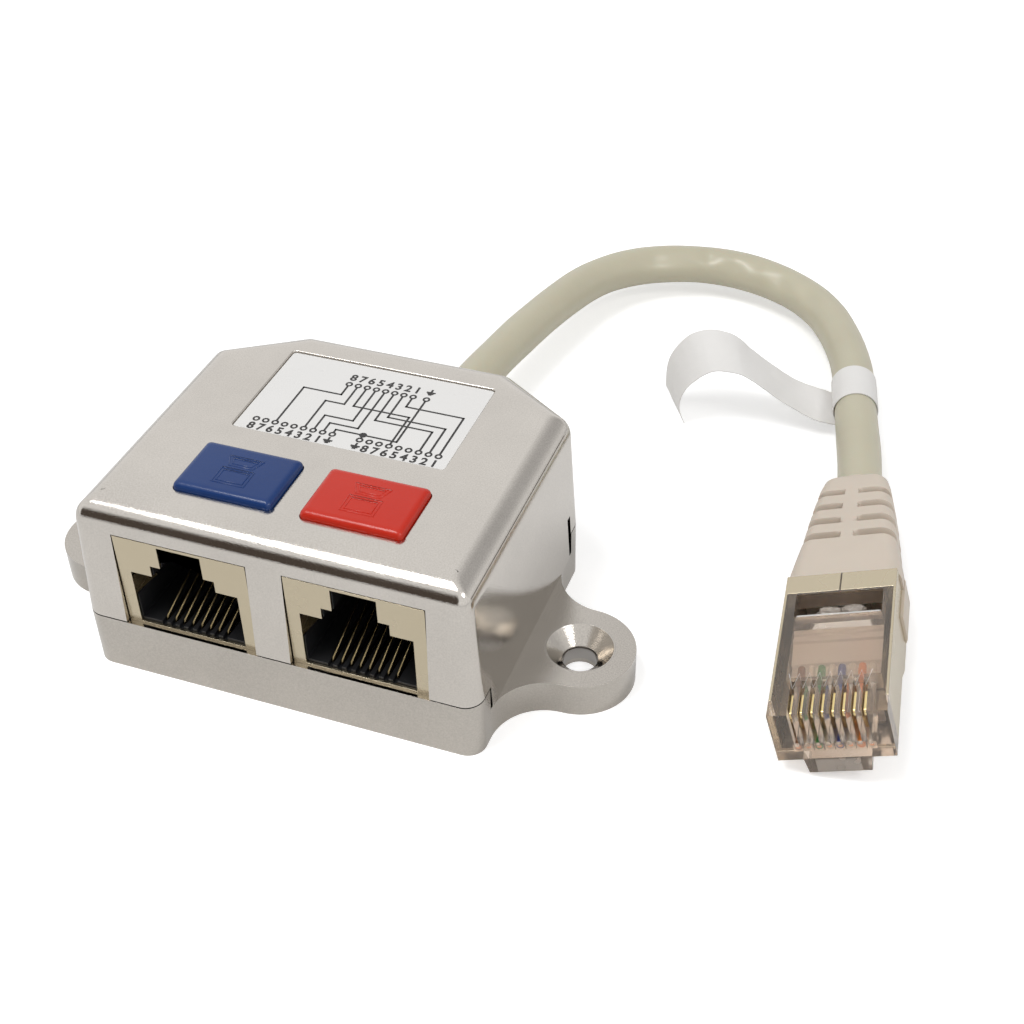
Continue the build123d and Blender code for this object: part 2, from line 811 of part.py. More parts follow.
# Boot: a tapering grip round the cable's end, slotted to bend, with a guard under the plug
with BuildPart() as plug_boot:
    for back, width, height in boot_sections:
        with BuildSketch(plug_face.offset(-back)):
            with Locations((0, plug_axis)):
                RectangleRounded(width, height, boot_corner)
    loft(ruled=True)
    with BuildSketch(plug_face.offset(-guard_front)) as guard:
        with Locations((0, guard_top)):
            Rectangle(
                plug_width + 2 * guard_wall,
                guard_top + plug_rear_height + guard_wall,
                align=(Align.CENTER, Align.MAX),
            )
        fillet(guard.vertices().group_by(Axis.Y)[0], guard_corner)
    extrude(amount=guard_front - guard_rear)
    with BuildSketch(plug_side):
        add(plug_outline(0))
    extrude(amount=plug_width / 2, both=True, mode=Mode.SUBTRACT)
    with BuildSketch(plug_face.offset(-plug_length)):
        with Locations((0, plug_axis)):
            RectangleRounded(bundle_width, bundle_height, bundle_corner)
    extrude(amount=plug_length - boot_bore_floor, mode=Mode.SUBTRACT)
    with BuildSketch(plug_face.offset(-boot_bore_floor)):
        with Locations((0, plug_axis)):
            Circle(cable_radius)
    extrude(amount=-cable_diameter, mode=Mode.SUBTRACT)
    for back in boot_slots:
        with BuildSketch(plug_face.offset(boot_slot_width / 2 - back)):
            with Locations((0, plug_axis)):
                Rectangle(2 * plug_width, 2 * plug_width)
                Rectangle(
                    boot_width_at(back) - 2 * boot_slot_depth,
                    boot_sections[0][2] - 2 * boot_slot_depth,
                    mode=Mode.SUBTRACT,
                )
                Rectangle(boot_spine, 2 * plug_width, mode=Mode.SUBTRACT)
                Rectangle(2 * plug_width, boot_spine, mode=Mode.SUBTRACT)
        extrude(amount=-boot_slot_width, mode=Mode.SUBTRACT)
finish(plug_boot, "plug_boot")
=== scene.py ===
"""Looks of the socket doubler: plated housing, wiring label, patch lead, boot and clear plug."""

import math

import bmesh
import bpy
from mathutils import Matrix, Vector, noise


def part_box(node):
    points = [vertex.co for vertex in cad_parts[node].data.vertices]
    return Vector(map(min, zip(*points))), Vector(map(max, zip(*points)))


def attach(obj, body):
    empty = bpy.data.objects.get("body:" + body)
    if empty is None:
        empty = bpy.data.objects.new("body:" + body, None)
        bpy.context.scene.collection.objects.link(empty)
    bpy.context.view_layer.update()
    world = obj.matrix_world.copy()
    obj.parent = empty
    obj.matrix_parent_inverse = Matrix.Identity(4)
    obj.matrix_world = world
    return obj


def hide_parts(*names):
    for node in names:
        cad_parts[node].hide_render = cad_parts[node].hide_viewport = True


MM = 0.001

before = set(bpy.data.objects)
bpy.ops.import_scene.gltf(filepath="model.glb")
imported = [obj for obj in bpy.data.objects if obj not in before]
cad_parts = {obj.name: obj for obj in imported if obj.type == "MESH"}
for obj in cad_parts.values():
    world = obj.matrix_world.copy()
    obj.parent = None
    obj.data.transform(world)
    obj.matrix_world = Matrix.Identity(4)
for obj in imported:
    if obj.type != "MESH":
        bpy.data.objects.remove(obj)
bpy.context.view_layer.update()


# Meshes and pieces


def link(name, data):
    """New object in the scene at the origin."""
    made = bpy.data.objects.new(name, data)
    bpy.context.scene.collection.objects.link(made)
    return made


def mesh_of(name, corners, faces):
    """Mesh from corners in millimetres, shaded smooth."""
    mesh = bpy.data.meshes.new(name)
    mesh.from_pydata([Vector(corner) * MM for corner in corners], [], faces)
    mesh.validate()
    mesh.shade_smooth()
    return mesh


def as_mesh(thing):
    """Plain mesh of an object with its curves and modifiers worked out."""
    bpy.context.view_layer.update()
    shape = thing.evaluated_get(bpy.context.evaluated_depsgraph_get())
    return bpy.data.meshes.new_from_object(shape)


def settle(thing):
    """Turn an object into a plain mesh object under the same name."""
    name = thing.name
    mesh = as_mesh(thing)
    bpy.data.objects.remove(thing)
    mesh.name = name
    return link(name, mesh)


def outward(mesh):
    """Merge doubles and point every face outwards."""
    work = bmesh.new()
    work.from_mesh(mesh)
    bmesh.ops.remove_doubles(work, verts=work.verts, dist=0.0001 * MM)
    bmesh.ops.recalc_face_normals(work, faces=work.faces)
    work.to_mesh(mesh)
    work.free()
    return mesh


def piece(thing, nodes, slot, *finishes):
    """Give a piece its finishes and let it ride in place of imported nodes."""
    thing.data.materials.clear()
    for finish in finishes:
        thing.data.materials.append(finish)
    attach(thing, "root")
    if nodes:
        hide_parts(*nodes)
    return thing


def round_edges(thing, width, sharp=30, segments=2):
    """Small even rounding on every edge sharper than the given angle."""
    thing.data.shade_smooth()
    bevel = thing.modifiers.new("rounding", "BEVEL")
    bevel.width = width * MM
    bevel.segments = segments
    bevel.limit_method = "ANGLE"
    bevel.angle_limit = math.radians(sharp)
    bevel.harden_normals = True
    even = thing.modifiers.new("even_shading", "WEIGHTED_NORMAL")
    even.keep_sharp = True
    return settle(thing)


def faired_copy(node, width, slot, *finishes, sharp=30, segments=2):
    """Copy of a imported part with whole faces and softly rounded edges, in its place."""
    mesh = bpy.data.meshes.new(node)
    work = bmesh.new()
    work.from_mesh(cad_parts[node].data)
    bmesh.ops.remove_doubles(work, verts=work.verts, dist=0.0005 * MM)
    bmesh.ops.dissolve_limit(
        work, angle_limit=math.radians(0.4), verts=work.verts, edges=work.edges
    )
    work.to_mesh(mesh)
    work.free()
    spare = mesh.attributes.get("custom_normal")
    if spare:
        mesh.attributes.remove(spare)
    thing = round_edges(link(f"{node}_dressed", mesh), width, sharp, segments)
    for face in thing.data.polygons:
        face.material_index = 0
    return piece(thing, [node], slot, *finishes)


def joined(name, things):
    """One object from several."""
    with bpy.context.temp_override(
        active_object=things[0], selected_editable_objects=things, selected_objects=things
    ):
        bpy.ops.object.join()
    things[0].name = name
    return things[0]


# Materials


def put(tree, kind, values=None, **settings):
    """New shader node with its settings and its unlinked values."""
    made = tree.nodes.new(kind)
    for name, value in settings.items():
        setattr(made, name, value)
    for name, value in (values or {}).items():
        made.inputs[name].default_value = value
    return made


def connect(tree, *links):
    """Join nodes: each link names a node, its output, another node and its input."""
    for source, output, target, entry in links:
        tree.links.new(source.outputs[output], target.inputs[entry])


def surface_texture():
    """Group that every finish shares: fine grain, broad ripple, uneven gloss and a shade mask."""
    group = bpy.data.node_groups.new("surface_texture", "ShaderNodeTree")
    for name, value in (
        ("Grain Scale", 4000.0),
        ("Grain Depth", 0.00001),
        ("Ripple Scale", 200.0),
        ("Ripple Depth", 0.00002),
        ("Rough Low", 0.3),
        ("Rough High", 0.4),
        ("Patch Scale", 120.0),
        ("Speckle", 0.0),
    ):
        socket = group.interface.new_socket(name, in_out="INPUT", socket_type="NodeSocketFloat")
        socket.default_value = value
    for name, kind in (("Shade", "Float"), ("Roughness", "Float"), ("Normal", "Vector")):
        group.interface.new_socket(name, in_out="OUTPUT", socket_type=f"NodeSocket{kind}")
    given = put(group, "NodeGroupInput")
    made = put(group, "NodeGroupOutput")
    place = put(group, "ShaderNodeTexCoord")
    grain = put(group, "ShaderNodeTexNoise", {"Detail": 3.0, "Roughness": 0.6})
    ripple = put(group, "ShaderNodeTexNoise", {"Detail": 2.0})
    patch = put(group, "ShaderNodeTexNoise", {"Detail": 4.0, "Roughness": 0.65})
    gloss = put(group, "ShaderNodeMapRange", {"From Min": 0.3, "From Max": 0.7})
    specks = put(group, "ShaderNodeMapRange", {"From Min": 0.33, "From Max": 0.67})
    shade = put(group, "ShaderNodeMix", data_type="FLOAT")
    first = put(group, "ShaderNodeBump", {"Strength": 1.0})
    second = put(group, "ShaderNodeBump", {"Strength": 1.0})
    scales = ((grain, "Grain Scale"), (ripple, "Ripple Scale"), (patch, "Patch Scale"))
    for pattern, scale in scales:
        connect(group, (place, "Object", pattern, "Vector"), (given, scale, pattern, "Scale"))
    connect(
        group,
        (patch, "Fac", gloss, "Value"),
        (given, "Rough Low", gloss, "To Min"),
        (given, "Rough High", gloss, "To Max"),
        (ripple, "Fac", first, "Height"),
        (given, "Ripple Depth", first, "Distance"),
        (grain, "Fac", second, "Height"),
        (given, "Grain Depth", second, "Distance"),
        (first, "Normal", second, "Normal"),
        (grain, "Fac", specks, "Value"),
        (given, "Speckle", shade, "Factor"),
        (patch, "Fac", shade, "A"),
        (specks, "Result", shade, "B"),
        (shade, "Result", made, "Shade"),
        (gloss, "Result", made, "Roughness"),
        (second, "Normal", made, "Normal"),
    )
    return group


TEXTURE = surface_texture()


def finish(name, dark, light, sizes, **shader_values):
    """Material between two colours, with the shared texture at this finish's own sizes."""
    material = bpy.data.materials.new(name)
    material.use_nodes = True
    tree = material.node_tree
    shader = tree.nodes["Principled BSDF"]
    surface = put(tree, "ShaderNodeGroup", node_tree=TEXTURE)
    for socket, value in sizes.items():
        surface.inputs[socket].default_value = value
    shade = put(tree, "ShaderNodeMix", data_type="RGBA")
    shade.inputs["A"].default_value = (*dark, 1)
    shade.inputs["B"].default_value = (*light, 1)
    connect(
        tree,
        (surface, "Shade", shade, "Factor"),
        (shade, "Result", shader, "Base Color"),
        (surface, "Roughness", shader, "Roughness"),
        (surface, "Normal", shader, "Normal"),
    )
    for socket, value in shader_values.items():
        shader.inputs[socket.replace("_", " ")].default_value = value
    return material


def texture(grain, grain_depth, ripple, ripple_depth, low, high, patch=120.0, speckle=0.0):
    """Values of the shared texture: scales per metre, depths in micrometres."""
    return {
        "Grain Scale": grain,
        "Grain Depth": grain_depth * MM * MM,
        "Ripple Scale": ripple,
        "Ripple Depth": ripple_depth * MM * MM,
        "Rough Low": low,
        "Rough High": high,
        "Patch Scale": patch,
        "Speckle": speckle,
    }


satin_plating = finish(
    "satin_plating", (0.50, 0.47, 0.433), (0.69, 0.65, 0.60),
    texture(6500, 12, 160, 12, 0.05, 0.11, speckle=0.45), Metallic=1.0,
)
base_plating = finish(
    "base_plating", (0.41, 0.38, 0.345), (0.585, 0.55, 0.50),
    texture(6500, 12, 160, 12, 0.05, 0.11, speckle=0.5), Metallic=1.0,
)
polished_plating = finish(
    "polished_plating", (0.36, 0.345, 0.33), (0.47, 0.45, 0.43),
    texture(3000, 2, 500, 6, 0.03, 0.08), Metallic=1.0,
)
nickel_sheet = finish(
    "nickel_sheet", (0.51, 0.44, 0.315), (0.58, 0.51, 0.38),
    texture(5000, 2, 120, 3, 0.20, 0.30, patch=60, speckle=0.2), Metallic=1.0,
)
black_moulding = finish(
    "black_moulding", (0.006, 0.006, 0.007), (0.012, 0.012, 0.013),
    texture(4000, 8, 300, 10, 0.35, 0.5),
)
gold_plating = finish(
    "gold_plating", (0.76, 0.58, 0.26), (0.88, 0.73, 0.40),
    texture(5000, 2, 900, 8, 0.14, 0.26), Metallic=1.0,
)
# Darker copy of the gold for the socket contacts: painted shade for the dark inside of the sockets.
painted_shade_gold = finish(
    "painted_shade_gold", (0.15, 0.115, 0.055), (0.28, 0.22, 0.12),
    texture(5000, 2, 900, 8, 0.2, 0.3), Metallic=1.0,
)
blue_moulding = finish(
    "blue_moulding", (0.006, 0.030, 0.130), (0.012, 0.045, 0.175),
    texture(2500, 14, 350, 20, 0.18, 0.28), Specular_IOR_Level=0.35,
)
red_moulding = finish(
    "red_moulding", (0.48, 0.017, 0.006), (0.57, 0.027, 0.010),
    texture(2500, 14, 350, 20, 0.18, 0.28), Specular_IOR_Level=0.35,
)
label_film = finish(
    "label_film", (0.72, 0.71, 0.695), (0.76, 0.75, 0.735),
    texture(1500, 4, 90, 20, 0.26, 0.32),
)
label_ink = finish(
    "label_ink", (0.012, 0.010, 0.010), (0.02, 0.018, 0.017),
    texture(3000, 3, 200, 5, 0.35, 0.5),
)
lead_jacket = finish(
    "lead_jacket", (0.475, 0.44, 0.325), (0.56, 0.525, 0.40),
    texture(2200, 8, 260, 30, 0.28, 0.40, patch=70),
    Subsurface_Weight=0.08, Subsurface_Scale=0.001,
)
boot_rubber = finish(
    "boot_rubber", (0.56, 0.485, 0.405), (0.64, 0.56, 0.475),
    texture(2600, 12, 300, 20, 0.38, 0.50),
    Subsurface_Weight=0.05, Subsurface_Scale=0.001,
)
tag_paper = finish(
    "tag_paper", (0.73, 0.715, 0.695), (0.80, 0.785, 0.765),
    texture(1400, 20, 130, 60, 0.55, 0.7),
)
clear_moulding = finish(
    "clear_moulding", (0.84, 0.70, 0.58), (0.93, 0.83, 0.73),
    texture(1500, 2, 220, 4, 0.03, 0.08),
    Transmission_Weight=0.90, IOR=1.38,
)
milky_moulding = finish(
    "milky_moulding", (0.92, 0.90, 0.87), (0.97, 0.955, 0.94),
    texture(1500, 3, 400, 8, 0.30, 0.42),
    Transmission_Weight=0.40, IOR=1.42,
)
hazy_moulding = finish(
    "hazy_moulding", (0.52, 0.46, 0.40), (0.66, 0.59, 0.52),
    texture(1500, 20, 700, 60, 0.16, 0.30),
    Transmission_Weight=0.55, IOR=1.42,
)
crumpled_foil = finish(
    "crumpled_foil", (0.62, 0.61, 0.60), (0.75, 0.74, 0.73),
    texture(1800, 60, 700, 160, 0.2, 0.4), Metallic=1.0,
)
copper_wire = finish(
    "copper_wire", (0.60, 0.28, 0.15), (0.75, 0.38, 0.22),
    texture(4000, 4, 900, 8, 0.25, 0.4), Metallic=1.0,
)
board_mask = finish(
    "board_mask", (0.010, 0.085, 0.035), (0.016, 0.12, 0.05),
    texture(3500, 4, 500, 12, 0.25, 0.4),
)
CORE_SHADES = {
    "brown": ((0.16, 0.070, 0.035), (0.22, 0.10, 0.05)),
    "white": ((0.62, 0.60, 0.57), (0.72, 0.70, 0.67)),
    "green": ((0.03, 0.20, 0.06), (0.05, 0.27, 0.09)),
    "blue": ((0.03, 0.06, 0.27), (0.05, 0.09, 0.35)),
    "orange": ((0.65, 0.20, 0.04), (0.78, 0.27, 0.07)),
}
core_finish = {
    shade: finish(f"{shade}_insulation", *tones, texture(3000, 4, 500, 10, 0.35, 0.5))
    for shade, tones in CORE_SHADES.items()
}


# Camera, light and table


CAMERA_PLACE = (63.508, -115.491, 117.713)
CAMERA_YAW = math.radians(21.04)
CAMERA_PITCH = math.radians(39.23)
CAMERA_ROLL = math.radians(-1.36)
LENS = 54.40
SENSOR = 36


def place_camera():
    """Camera at the photograph's viewpoint, solved from the housing's corners."""
    yaw, pitch, roll = CAMERA_YAW, CAMERA_PITCH, CAMERA_ROLL
    flat = Vector((math.sin(yaw), -math.cos(yaw), 0))
    back = flat * math.cos(pitch) + Vector((0, 0, math.sin(pitch)))
    level = Vector((math.cos(yaw), math.sin(yaw), 0))
    upright = level.cross(-back)
    right = level * math.cos(roll) + upright * math.sin(roll)
    up = upright * math.cos(roll) - level * math.sin(roll)
    data = bpy.data.cameras.new("viewpoint")
    data.sensor_width = SENSOR
    data.lens = LENS
    data.clip_start = 0.01
    camera = link("viewpoint", data)
    turned = Matrix((right, up, back)).transposed().to_4x4()
    camera.matrix_world = Matrix.Translation(Vector(CAMERA_PLACE) * MM) @ turned
    bpy.context.scene.camera = camera


def soft_lamp(name, place, target, size, power):
    """Square soft box that faces a point on the object."""
    data = bpy.data.lights.new(name, "AREA")
    data.shape = "SQUARE"
    data.size = size
    data.energy = power
    lamp = link(name, data)
    lamp.location = Vector(place)
    lamp.rotation_euler = (Vector(target) - Vector(place)).to_track_quat("-Z", "Y").to_euler()
    return lamp


DAYLIGHT = 0.50
# Soft boxes: name, place, the point that each one faces, size in metres and power in watts.
KEY = ("key", (-0.16, -0.14, 0.56), (0.015, 0.01, 0.01), 0.22, 1.55)
FILL = ("fill", (0.30, -0.12, 0.38), (0.055, 0.01, 0.01), 0.16, 0.5)
# Each dark side: where it is, how it fades in towards there, how deep it gets, and its colour.
DARK_SIDES = (
    ((-0.40, -0.88, 0.26), 0.895, 0.955, 0.95, (0.050, 0.030, 0.017, 1)),
    ((0.45, 0.62, 0.64), 0.76, 0.97, 0.46, (0.060, 0.056, 0.053, 1)),
)


def darkened_room(tree, rays):
    """Node and output with the white room's colour and the dark sides that shiny things mirror."""
    place = put(tree, "ShaderNodeTexCoord")
    white = put(tree, "ShaderNodeRGB")
    white.outputs["Color"].default_value = (1, 1, 1, 1)
    colour = (white, "Color")
    for direction, low, high, depth, dark in DARK_SIDES:
        towards = put(tree, "ShaderNodeVectorMath", {1: direction}, operation="DOT_PRODUCT")
        edge = put(tree, "ShaderNodeMapRange", {"From Min": low, "From Max": high, "To Max": depth})
        mirrored = put(tree, "ShaderNodeMath", operation="MULTIPLY")
        shade = put(tree, "ShaderNodeMix", data_type="RGBA")
        shade.inputs["B"].default_value = dark
        connect(
            tree,
            (place, "Generated", towards, 0),
            (towards, "Value", edge, "Value"),
            (edge, "Result", mirrored, 0),
            (rays, "Is Glossy Ray", mirrored, 1),
            (mirrored, "Value", shade, "Factor"),
            (*colour, shade, "A"),
        )
        colour = (shade, "Result")
    return colour


def seen_directly(tree, rays):
    """Node and output that give 1 for rays from the camera, straight or through something clear."""
    either = put(tree, "ShaderNodeMath", operation="MAXIMUM")
    connect(tree, (rays, "Is Camera Ray", either, 0), (rays, "Is Transmission Ray", either, 1))
    return either, "Value"


def light_the_studio():
    """White room, dimmer for what it lights than for what shows it, and two soft boxes."""
    world = bpy.data.worlds.new("studio")
    bpy.context.scene.world = world
    world.use_nodes = True
    tree = world.node_tree
    tree.nodes.clear()
    output = put(tree, "ShaderNodeOutputWorld")
    daylight = put(tree, "ShaderNodeBackground", {"Color": (1, 1, 1, 1), "Strength": DAYLIGHT})
    backdrop = put(tree, "ShaderNodeBackground", {"Strength": 1.0})
    blend = put(tree, "ShaderNodeMixShader")
    rays = put(tree, "ShaderNodeLightPath")
    seen = put(tree, "ShaderNodeMath", operation="MAXIMUM")
    connect(
        tree,
        (*darkened_room(tree, rays), backdrop, "Color"),
        (*seen_directly(tree, rays), seen, 0),
        (rays, "Is Glossy Ray", seen, 1),
        (seen, "Value", blend, "Fac"),
        (daylight, "Background", blend, 1),
        (backdrop, "Background", blend, 2),
        (blend, "Shader", output, "Surface"),
    )
    soft_lamp(*KEY)
    soft_lamp(*FILL)


TABLE_EDGE = 3000
TABLE_TONE = (0.86, 0.86, 0.86, 1)
# Distance in metres and strength of the table's glow, near the object and far from it.
NEAR_GLOW = (0.12, 0.42)
FAR_GLOW = (0.45, 0.62)


def lay_the_table():
    """Pale table that reads as white in the picture and keeps a soft shadow."""
    corners = [(x * TABLE_EDGE, y * TABLE_EDGE, 0) for x, y in ((-1, -1), (1, -1), (1, 1), (-1, 1))]
    table = link("table", mesh_of("table", corners, [(0, 1, 2, 3)]))
    material = bpy.data.materials.new("pale_table")
    material.use_nodes = True
    tree = material.node_tree
    shader = tree.nodes["Principled BSDF"]
    shader.inputs["Base Color"].default_value = TABLE_TONE
    shader.inputs["Roughness"].default_value = 0.9
    shader.inputs["Specular IOR Level"].default_value = 0.0
    shader.inputs["Emission Color"].default_value = (1, 1, 1, 1)
    place = put(tree, "ShaderNodeTexCoord")
    distance = put(tree, "ShaderNodeVectorMath", operation="LENGTH")
    reach = {"From Min": NEAR_GLOW[0], "From Max": FAR_GLOW[0]}
    lift = put(tree, "ShaderNodeMapRange", {**reach, "To Min": NEAR_GLOW[1], "To Max": FAR_GLOW[1]})
    rays = put(tree, "ShaderNodeLightPath")
    glow = put(tree, "ShaderNodeMath", operation="MULTIPLY")
    connect(
        tree,
        (place, "Object", distance, 0),
        (distance, "Value", lift, "Value"),
        (lift, "Result", glow, 1),
        (*seen_directly(tree, rays), glow, 0),
        (glow, "Value", shader, "Emission Strength"),
    )
    table.data.materials.append(material)


# Forms built from rings and lines


QUADRANTS = ((0, 1, 1), (90, -1, 1), (180, -1, -1), (270, 1, -1))


def heading(angle):
    """Unit direction at an angle in degrees."""
    return Vector((math.cos(math.radians(angle)), math.sin(math.radians(angle))))


def circle(radius, count, x=0.0, y=0.0):
    """Points round a circle."""
    turns = (2 * math.pi * k / count for k in range(count))
    return [(x + radius * math.cos(turn), y + radius * math.sin(turn)) for turn in turns]


def arc(centre, radius, start, end, steps):
    """Points on an arc, from one angle to another in degrees."""
    points = []
    for i in range(steps + 1):
        angle = math.radians(start + (end - start) * i / steps)
        points.append((centre[0] + radius * math.cos(angle), centre[1] + radius * math.sin(angle)))
    return points


def rounded_rectangle(half_x, half_y, radius, steps):
    """Points round a rectangle with arcs at its corners, from the right and over the top."""
    points = []
    for turn, sign_x, sign_y in QUADRANTS:
        centre = (sign_x * (half_x - radius), sign_y * (half_y - radius))
        points += arc(centre, radius, turn, turn + 90, steps)
    return points


def loft(rings, name, ends="capped"):
    """Skin over rings of equal length, in millimetres, with capped, open or joined ends."""
    count, levels = len(rings[0]), len(rings)
    corners = [corner for ring in rings for corner in ring]
    faces = []
    for level in range(levels if ends == "joined" else levels - 1):
        low, high = level * count, (level + 1) % levels * count
        for i in range(count):
            j = (i + 1) % count
            faces.append((low + i, low + j, high + j, high + i))
    if ends == "capped":
        faces.append(tuple(range(count - 1, -1, -1)))
        faces.append(tuple((levels - 1) * count + i for i in range(count)))
    return mesh_of(name, corners, faces)


def lofted(name, rings, ends="capped"):
    """Object with a skin over rings, every face outwards."""
    return link(name, outward(loft(rings, name, ends)))


def wire_along(name, points, radius):
    """Round wire through points in millimetres, as a plain mesh."""
    curve = bpy.data.curves.new(name, "CURVE")
    curve.dimensions = "3D"
    curve.bevel_depth = radius * MM
    curve.bevel_resolution = 3
    curve.use_fill_caps = True
    spline = curve.splines.new("POLY")
    spline.points.add(len(points) - 1)
    for point, place in zip(spline.points, points):
        point.co = (*(Vector(place) * MM), 1)
    return settle(link(name, curve))


# What repeats along a row


def row_builder():
    """Geometry tree that repeats the given mesh along a row and gives it a finish."""
    tree = bpy.data.node_groups.new("repeat_in_a_row", "GeometryNodeTree")
    sockets = {}
    tree.interface.new_socket("Geometry", in_out="INPUT", socket_type="NodeSocketGeometry")
    for name, kind in (("Count", "Int"), ("Step", "Vector"), ("Finish", "Material")):
        kind = f"NodeSocket{kind}"
        sockets[name] = tree.interface.new_socket(name, in_out="INPUT", socket_type=kind).identifier
    tree.interface.new_socket("Geometry", in_out="OUTPUT", socket_type="NodeSocketGeometry")
    given = put(tree, "NodeGroupInput")
    made = put(tree, "NodeGroupOutput")
    row = put(tree, "GeometryNodeMeshLine")
    stand = put(tree, "GeometryNodeInstanceOnPoints")
    real = put(tree, "GeometryNodeRealizeInstances")
    paint = put(tree, "GeometryNodeSetMaterial")
    connect(
        tree,
        (given, "Count", row, "Count"),
        (given, "Step", row, "Offset"),
        (row, "Mesh", stand, "Points"),
        (given, "Geometry", stand, "Instance"),
        (stand, "Instances", real, "Geometry"),
        (real, "Geometry", paint, "Geometry"),
        (given, "Finish", paint, "Material"),
        (paint, "Geometry", made, "Geometry"),
    )
    return tree, sockets


ROW_TREE, ROW_SOCKETS = row_builder()


def in_a_row(first, count, step, material):
    """Object with its mesh repeated along a row, as one plain mesh."""
    repeat = first.modifiers.new("repeat", "NODES")
    repeat.node_group = ROW_TREE
    repeat[ROW_SOCKETS["Count"]] = count
    repeat[ROW_SOCKETS["Step"]] = Vector(step) * MM
    repeat[ROW_SOCKETS["Finish"]] = material
    return settle(first)


# Housing


HALF_WIDTH = 22.3
HALF_DEPTH = 19.0
HOUSING_TOP = 21.4
PARTING = 6.8
EAR_TOP = 4.0
DRAFT = math.tan(math.radians(3))
WALL = 1.7
CEILING = 19.6
SEAM = 0.14
ROOF_RADIUS = 2.6
REAR_CUT = (9.4, 6.6)
FRONT_CORNER = 2.0
REAR_CORNER = 2.6
SMALLEST_CORNER = 0.7
CORNER_STEPS = 10
WINDOWS = ((-17.15, -1.95), (1.95, 17.15))
WINDOW_TOP = 18.4
SKIRT = (-15.3, 8.9)
SLIT = (8.9, 9.75)
SLIT_TOP = 9.4
CABLE_HOLE = 2.7
LINE_TURN = 27.0
LINE_DEPTH = 0.16
WALL_LEVELS = (EAR_TOP, PARTING + SEAM, SLIT_TOP, WINDOW_TOP, 18.5)
LINE_TURNS = (LINE_TURN - 1.9, LINE_TURN - 1.4, LINE_TURN + 1.4, LINE_TURN + 1.9)
ROOF_TURNS = (3, 10, 17, 22, *LINE_TURNS, 32, 39, 46, 53, 60, 67, 74, 82, 90)
INSERT_X = 7.1
INSERT_Y = -9.1
# Recesses in the roof: middle, half sizes, corner radius and depth.
LABEL_PLACE = (0.0, 6.3, 12.25, 7.55, 0.45, 0.35)
SEAT_PLACES = tuple((x, INSERT_Y, 5.6, 3.95, 0.55, 1.0) for x in (-INSERT_X, INSERT_X))
RECESS_RIM = ((-0.8, 0), (-0.13, 0), (-0.05, -0.02), (-0.01, -0.07), (0, -0.14))

SIDES = ("front", "right", "right_cut", "rear", "left_cut", "left")
REAR_STOPS = (10, 6, CABLE_HOLE, 2.4, 1.9, 1.3, 0.65)
# Where each side has columns of corners besides those at its ends.
STOPS = {
    "front": (WINDOWS[0][0], -12, -7, WINDOWS[0][1], WINDOWS[1][0], 7, 12, WINDOWS[1][1]),
    "right": (SKIRT[0], -9, -3, 3, *SLIT),
    "rear": (*REAR_STOPS, 0, *(-stop for stop in reversed(REAR_STOPS))),
    "left": (SLIT[1], SLIT[0], 3, -3, -9, SKIRT[0]),
}


def housing_outline(inset):
    """Plan of the housing drawn in by an inset: points, and the name of the side each one is on."""
    x, y = HALF_WIDTH - inset, HALF_DEPTH - inset
    cut_x, cut_y = REAR_CUT
    slant = inset * math.tan(math.radians(22.5))
    side_end = HALF_DEPTH - cut_y - slant
    rear_end = HALF_WIDTH - cut_x - slant * cut_x / cut_y
    corners = (
        ((-x, -y), FRONT_CORNER),
        ((x, -y), FRONT_CORNER),
        ((x, side_end), REAR_CORNER),
        ((rear_end, y), REAR_CORNER),
        ((-rear_end, y), REAR_CORNER),
        ((-x, side_end), REAR_CORNER),
    )
    points = []
    for i, (corner, radius) in enumerate(corners):
        corner = Vector(corner)
        before = (Vector(corners[i - 1][0]) - corner).normalized()
        after = (Vector(corners[(i + 1) % len(corners)][0]) - corner).normalized()
        radius = max(radius - inset, SMALLEST_CORNER)
        half = before.angle(after) / 2
        centre = corner + (before + after).normalized() * radius / math.sin(half)
        start = corner + before * radius / math.tan(half) - centre
        for k in range(CORNER_STEPS + 1):
            arm = start.copy()
            arm.rotate(Matrix.Rotation((math.pi - 2 * half) * k / CORNER_STEPS, 2))
            points.append((centre + arm, SIDES[i] if k == CORNER_STEPS else "corner"))
        for stop in STOPS.get(SIDES[i], ()):
            place = {"front": (stop, -y), "rear": (stop, y), "right": (x, stop), "left": (-x, stop)}
            points.append((Vector(place[SIDES[i]]), SIDES[i]))
    return points


def wall_stands(level, here, there):
    """Whether the wall is there between two columns at a level, counted up from the ear's top."""
    middle = (here[0] + there[0]) / 2
    if level == 0:
        return abs(middle.x) > HALF_WIDTH - 1 and SKIRT[0] < middle.y < SKIRT[1]
    if level == 1 and abs(middle.x) > HALF_WIDTH - 1 and SLIT[0] < middle.y < SLIT[1]:
        return False
    if level in (1, 2) and middle.y < -HALF_DEPTH + 1:
        return not any(low < middle.x < high for low, high in WINDOWS)
    return level > 0


def cover_profile():
    """Height, inset and depth of the side line for each ring of the cover's skin."""
    profile = [(z, (z - PARTING) * DRAFT, 0.0) for z in WALL_LEVELS]
    centre_z = HOUSING_TOP - ROOF_RADIUS
    centre_inset = (centre_z - PARTING) * DRAFT + ROOF_RADIUS
    for turn in ROOF_TURNS:
        out = heading(turn)
        line = LINE_DEPTH if turn in LINE_TURNS[1:3] else 0.0
        profile.append((centre_z + ROOF_RADIUS * out.y, centre_inset - ROOF_RADIUS * out.x, line))
    return profile


